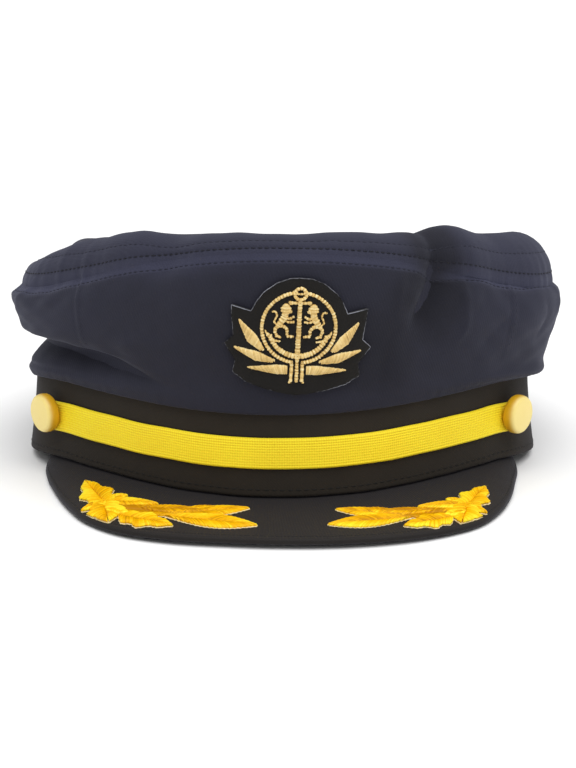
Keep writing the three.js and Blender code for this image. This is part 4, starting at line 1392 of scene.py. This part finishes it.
class HAT_OT_badge(bpy.types.Operator):
    """Makes the felt patch and the gold figures sewn on it"""

    bl_idname = "hat.badge"
    bl_label = "Badge"

    def execute(self, context):
        form, s, colours = made(context)
        radius = s.ring_size / 2
        lean = s.badge_lean
        centre = form.middle + np.array([s.badge_aside, 0, form.seam_height(0.0) - s.badge_drop])
        on_crown = Drape(
            bpy.data.objects["crown_wall_cloth"], centre,
            np.array([math.cos(lean), 0, -math.sin(lean)]),
            np.array([math.sin(lean), 0, math.cos(lean)]),
            np.array([0, 1.0, 0]),
        )
        self.patch(s, colours, radius, on_crown)
        base = 2 * s.gap + s.patch_thick - SEWN_DOWN
        gold = floss(
            "gold thread", colours.gold, colours.gold_deep, colours.gold_light, colours.gold_light,
            cloudy=0.5, shine=0.3,
        )
        rng = np.random.default_rng(41)

        def figure(name, node, draw):
            threads = Threads()
            draw(threads)
            dress(threads.object(name), gold, node)

        def strokes(threads, rows, lift=0.0):
            for row in rows:
                stroke(threads, on_crown, row, radius, base + lift, s.thread_rise, rng)

        def anchor(threads):
            for sign in (-1, 1):
                strokes(threads, mirrored(ANCHOR_HALF, sign))
            strokes(threads, ANCHOR_MIDDLE, 0.1 * MM)
            stroke(
                threads, on_crown, SHACKLE, radius, base + 0.2 * MM, s.thread_rise, rng, closed=True
            )
        figure("badge_anchor_thread", "badge_anchor", anchor)
        for side, sign in (("left", 1), ("right", -1)):
            figure(
                f"badge_lion_thread_{side}", f"badge_lion_{side}",
                lambda threads, sign=sign: strokes(threads, mirrored(LION, sign)),
            )
            for k, leaf in enumerate(BADGE_LEAVES):
                figure(
                    f"badge_leaf_thread_{side}_{k + 1}", f"badge_leaf_{side}_{k + 1}",
                    lambda threads, leaf=leaf, sign=sign: self.leaf(
                        threads, on_crown, leaf, -sign, radius, base, s.thread_rise, rng
                    ),
                )
        return {"FINISHED"}

    def leaf(self, threads, place, leaf, sign, radius, base, rise, rng):
        """Threads that cross a leaf at a slant. sign is -1 for the mirrored leaf."""
        shares = np.linspace(0.01, 0.99, columns_for(leaf.length * radius))
        slant = 0.07 * np.sin(np.pi * shares)
        mirror = np.array([sign, 1])
        low = badge_leaf_line(leaf, radius, -1, shares - slant) * mirror
        high = badge_leaf_line(leaf, radius, 1, shares + slant) * mirror
        tone = 0.55 + 0.1 * np.sin(7 * shares + leaf.turn)
        satin(threads, place, low, high, base, rise, tone, rng, 0.1, rim=0.35)

    def patch(self, s, colours, radius, on_crown):
        half = np.array(PATCH_HALF, float)
        outline = np.concatenate([half[::-1], half[1:-1] * [-1, 1]]) * radius
        corners = []
        for here, there in zip(outline, np.roll(outline, -1, axis=0)):
            pieces = max(2, round(np.linalg.norm(there - here) / (0.7 * MM)))
            corners += [here + (there - here) * k / pieces for k in range(pieces)]
        border = np.array(corners)
        rng = np.random.default_rng(17)
        border = border * (1 + rng.normal(0, 0.0022, len(border))[:, None])
        heart = np.array([0, -0.25]) * radius
        rings = [0.02, 0.15, 0.3, 0.45, 0.6, 0.72, 0.82, 0.9, 0.96, 0.992]
        top, under = s.gap + s.patch_thick, s.gap * 0.2

        def ring(share_out, height):
            flat = heart + (border - heart) * share_out
            return on_crown(flat[:, 0], flat[:, 1], np.full(len(border), height))
        levels = [(share_out, top) for share_out in rings]
        levels += [(1.0, top - 0.18 * MM), (1.0, under), (0.6, under), (0.02, under)]
        rows = np.stack([ring(*level) for level in levels])
        patch = grid_object("badge_felt", rows, looped=False)
        body = bmesh.new()
        body.from_mesh(patch.data)
        bmesh.ops.holes_fill(body, edges=body.edges, sides=0)
        bmesh.ops.recalc_face_normals(body, faces=body.faces)
        body.to_mesh(patch.data)
        body.free()
        finish = Finish("patch felt", {
            "Specular IOR Level": 0.15, "Sheen Weight": 0.1, "Sheen Roughness": 0.6,
        })
        fibre = finish.noise(1300, 4.0)
        cloud = finish.noise(180, 3.0)
        tint = tuple(colours.felt)
        tone = (fibre * 0.7 + cloud * 0.5 - 0.1).clamped()
        finish.wire("Base Color", finish.mix(tone, shade(tint, 0.5), shade(tint, 1.6)))
        finish.wire("Roughness", 0.85 + fibre * 0.15)
        finish.wire("Normal", finish.bump(fibre, 0.18 * MM, 1.0))
        dress(patch, finish, "badge_patch")
        rim = self.cut_edge(colours, border, on_crown, top)

    def cut_edge(self, colours, border, on_crown, top):
        """A pale line along the patch's border, a painted glint on its cut edge, in dashes and
        painted lighter upwards where more light falls.
        """
        edge = Threads()
        line = on_crown(border[:, 0], border[:, 1], np.full(len(border), top - 0.05 * MM))
        line = np.concatenate([line, line[:1]])
        along = unit(np.gradient(line, axis=0))
        out = np.cross(along, np.array([0, -1.0, 0]))
        up = np.cross(out, along)
        turns = np.linspace(0, 2 * np.pi, 6, endpoint=False)[:, None]
        tube = line[:, None] + 0.13 * MM * (
            np.cos(turns) * unit(out)[:, None] + np.sin(turns) * unit(up)[:, None]
        )
        # The painted glint comes and goes at random along the edge.
        painted_lit = np.random.default_rng(5).normal(0, 1, len(line) // 6 + 2)
        painted_lit = np.interp(np.arange(len(line)) / 6, np.arange(len(painted_lit)), painted_lit)
        middle = (line[:, 2].min() + line[:, 2].max()) / 2
        # Painted light: the edge is lighter towards its top, where light falls from above.
        upper = smooth(line[:, 2], middle - 4 * MM, middle + 8 * MM)
        dashes = 0.5 + 0.5 * np.sin(np.arange(len(line)) * 2.4)
        edge.add(tube, np.clip(0.05 + 0.4 * upper + 0.45 * painted_lit + 0.35 * dashes, 0, 1)[:, None])
        rim = edge.object("badge_cut_edge")
        finish = Finish("cut edge", {"Roughness": 0.7, "Specular IOR Level": 0.2})
        tone = finish.tone()
        finish.wire("Base Color", finish.mix(tone, tuple(colours.felt), tuple(colours.felt_edge_glint)))
        dress(rim, finish)
        return rim


# Sprigs, drawn in shares of their length from the tips of the long leaves outwards. A leaf is
# widest at its belly, a share of its length, and its tone says how light its thread is.
Leaf = namedtuple("Leaf", "name x y turn length width belly lobes tone")
SPRIG_LEAVES = [
    Leaf("stem", 0.42, 0.02, 18, 0.47, 0.15, 0.5, 0, 0.1),
    Leaf("long leaf behind", 0.48, 0.02, 172, 0.43, 0.12, 0.55, 0, 0.5),
    Leaf("bump on the long leaf", 0.42, 0.06, 171, 0.2, 0.08, 0.5, 0, 0.3),
    Leaf("long leaf in front", 0.5, 0, 195, 0.51, 0.15, 0.55, 0, 0.55),
    Leaf("leaf over the stem", 0.64, 0.11, 189, 0.34, 0.09, 0.5, 0, 0.2),
    Leaf("inner back leaf", 0.86, 0.25, 197, 0.33, 0.1, 0.45, 0, 0.6),
    Leaf("small back lobe", 0.83, 0.27, 172, 0.11, 0.08, 0.5, 0, 0.75),
    Leaf("inner front leaf", 0.75, 0.04, 208, 0.34, 0.18, 0.4, 3, 0.6),
    Leaf("outer front leaf", 0.83, 0.24, 324, 0.16, 0.09, 0.4, 0, 0.6),
    Leaf("outer back leaf", 0.82, 0.17, 66, 0.41, 0.2, 0.4, 3, 0.68),
    Leaf("outer front lobe", 0.85, 0.23, 258, 0.27, 0.22, 0.4, 3, 0.62),
    Leaf("pale tip", 0.83, 0.13, 212, 0.16, 0.08, 0.5, 0, 0.95),
]
Sprig = namedtuple("Sprig", "name side start length")
SPRIGS = [Sprig("left", -1, 6.5 * MM, 64 * MM), Sprig("right", 1, 16 * MM, 57.5 * MM)]


class HAT_OT_sprigs(bpy.types.Operator):
    """Makes the leaf sprig sewn on each side of the visor"""

    bl_idname = "hat.sprigs"
    bl_label = "Sprigs"

    def execute(self, context):
        form, s, colours = made(context)
        yellow = floss(
            "sprig thread", colours.sprig, colours.sprig_deep, colours.sprig_light, colours.cream
        )
        rim = form.visor_top(np.linspace(-1, 1, 200), 0.96)
        for sprig in SPRIGS:
            origin = form.middle + np.array([
                sprig.side * sprig.start, -form.reach - s.sprig_forward, 0,
            ])
            cover = Drape(
                bpy.data.objects["visor_cover"], origin,
                np.array([1.0, 0, 0]), np.array([0, 1.0, 0]), np.array([0, 0, -1.0]),
            )

            def on_visor(x, y, height, origin=origin, cover=cover):
                least = np.interp(x + origin[0], rim[:, 0], rim[:, 1]) - origin[1]
                return cover(x, np.maximum(y, least), height)
            threads = Threads()
            rng = np.random.default_rng(63)
            for k, row in enumerate(SPRIG_LEAVES):
                leaf = flipped(row, sprig.side)
                self.leaf(threads, on_visor, leaf, sprig.length, k * 0.06 * MM, s.thread_rise, rng)
            piece = threads.object(f"sprig_thread_{sprig.name}")
            dress(piece, yellow, f"sprig_{sprig.name}")
        return {"FINISHED"}

    def leaf(self, threads, place, leaf, scale, lift, rise, rng):
        """A cream edging under two halves of threads that slant out from the midrib."""
        count = columns_for(leaf.length * scale)
        shares = np.linspace(0, 1, count)
        low = leaf_line(leaf, scale, -1, shares, 0.24 * MM)
        high = leaf_line(leaf, scale, 1, shares, 0.14 * MM)
        satin(threads, place, low, high, 0.3 * MM, 0.18 * MM, CREAM_TONE, rng, 0.03)
        inner = np.linspace(0, 0.82, count)
        outer = np.linspace(0.1, 1, count)
        rib = leaf_line(leaf, scale, 0, inner)
        for side, change in ((-1, -0.13), (1, 0.1)):
            border = leaf_line(leaf, scale, side, outer)
            first, last = (rib, border) if side > 0 else (border, rib)
            glint = 0.12 * np.sin(9 * shares + leaf.turn + side)
            satin(
                threads, place, first, last, 0.35 * MM + lift, rise,
                leaf.tone + change + glint, rng, slope=0.4 * side,
            )


class HAT_OT_stage(bpy.types.Operator):
    """Sets the floor, the soft light and the camera"""

    bl_idname = "hat.stage"
    bl_label = "Stage"

    def execute(self, context):
        stage = context.scene.hat_stage
        scene = context.scene
        scene.view_settings.view_transform = "Standard"
        self.floor(stage)
        world = bpy.data.worlds.new("daylight")
        scene.world = world
        world.use_nodes = True
        backdrop = world.node_tree.nodes["Background"]
        backdrop.inputs["Color"].default_value = (1, 1, 1, 1)
        backdrop.inputs["Strength"].default_value = stage.daylight
        self.lamp(stage)
        self.camera(context, stage)
        return {"FINISHED"}

    def floor(self, stage):
        mesh = bpy.data.meshes.new("floor")
        half, below = 6.0, -0.5 * MM
        corners = [(-half, -half), (half, -half), (half, half), (-half, half)]
        mesh.from_pydata([(x, y, below) for x, y in corners], [], [(0, 1, 2, 3)])
        floor = bpy.data.objects.new("floor", mesh)
        bpy.context.scene.collection.objects.link(floor)
        finish = Finish("floor", {"Base Color": (*stage.floor, 1), "Roughness": 0.9})
        finish.on(floor)

    def lamp(self, stage):
        light = bpy.data.lights.new("overhead", "SUN")
        light.angle = stage.spread
        light.energy = stage.overhead
        lamp = bpy.data.objects.new("overhead", light)
        lamp.location = (0, 0, 1)
        lamp.rotation_euler = (stage.tilt, stage.aside, 0)
        bpy.context.scene.collection.objects.link(lamp)

    def camera(self, context, stage):
        middle = (BAND_LOW + BAND_HIGH) / 2
        turn = stage.camera_turn
        back, up = stage.camera_back, stage.camera_up
        place = Vector((middle.x + back * math.sin(turn), middle.y - back * math.cos(turn), up))
        target = Vector((middle.x + stage.camera_aside, middle.y, stage.camera_aim))
        data = bpy.data.cameras.new("camera")
        data.lens = stage.lens
        data.clip_start = 0.01
        camera = bpy.data.objects.new("camera", data)
        camera.location = place
        camera.rotation_euler = (target - place).to_track_quat("-Z", "Y").to_euler()
        context.scene.collection.objects.link(camera)
        context.scene.camera = camera


class HAT_PT_panel(bpy.types.Panel):
    """Lists the pieces of the hat"""

    bl_idname = "HAT_PT_panel"
    bl_label = "Captain hat"
    bl_space_type = "VIEW_3D"
    bl_region_type = "UI"
    bl_category = "Hat"

    def draw(self, context):
        for operator in MAKERS:
            self.layout.operator(operator.bl_idname)
        for group in GROUPS:
            settings = getattr(context.scene, group)
            box = self.layout.box()
            for name in settings.bl_rna.properties.keys():
                if name not in ("rna_type", "name"):
                    box.prop(settings, name)


GROUPS = {"hat_sizes": HatSizes, "hat_colours": HatColours, "hat_stage": StageSettings}
MAKERS = [
    HAT_OT_stage, HAT_OT_crown, HAT_OT_band, HAT_OT_visor, HAT_OT_strap,
    HAT_OT_buttons, HAT_OT_badge, HAT_OT_sprigs,
]


def register():
    for group in GROUPS.values():
        bpy.utils.register_class(group)
    for kind in (*MAKERS, HAT_PT_panel):
        bpy.utils.register_class(kind)
    for name, group in GROUPS.items():
        setattr(bpy.types.Scene, name, PointerProperty(type=group))


def unregister():
    for name in GROUPS:
        delattr(bpy.types.Scene, name)
    for kind in (HAT_PT_panel, *reversed(MAKERS), *GROUPS.values()):
        bpy.utils.unregister_class(kind)


def main():
    register()
    for maker in MAKERS:
        getattr(bpy.ops.hat, maker.bl_idname.split(".")[1])()


if __name__ == "__main__":
    main()
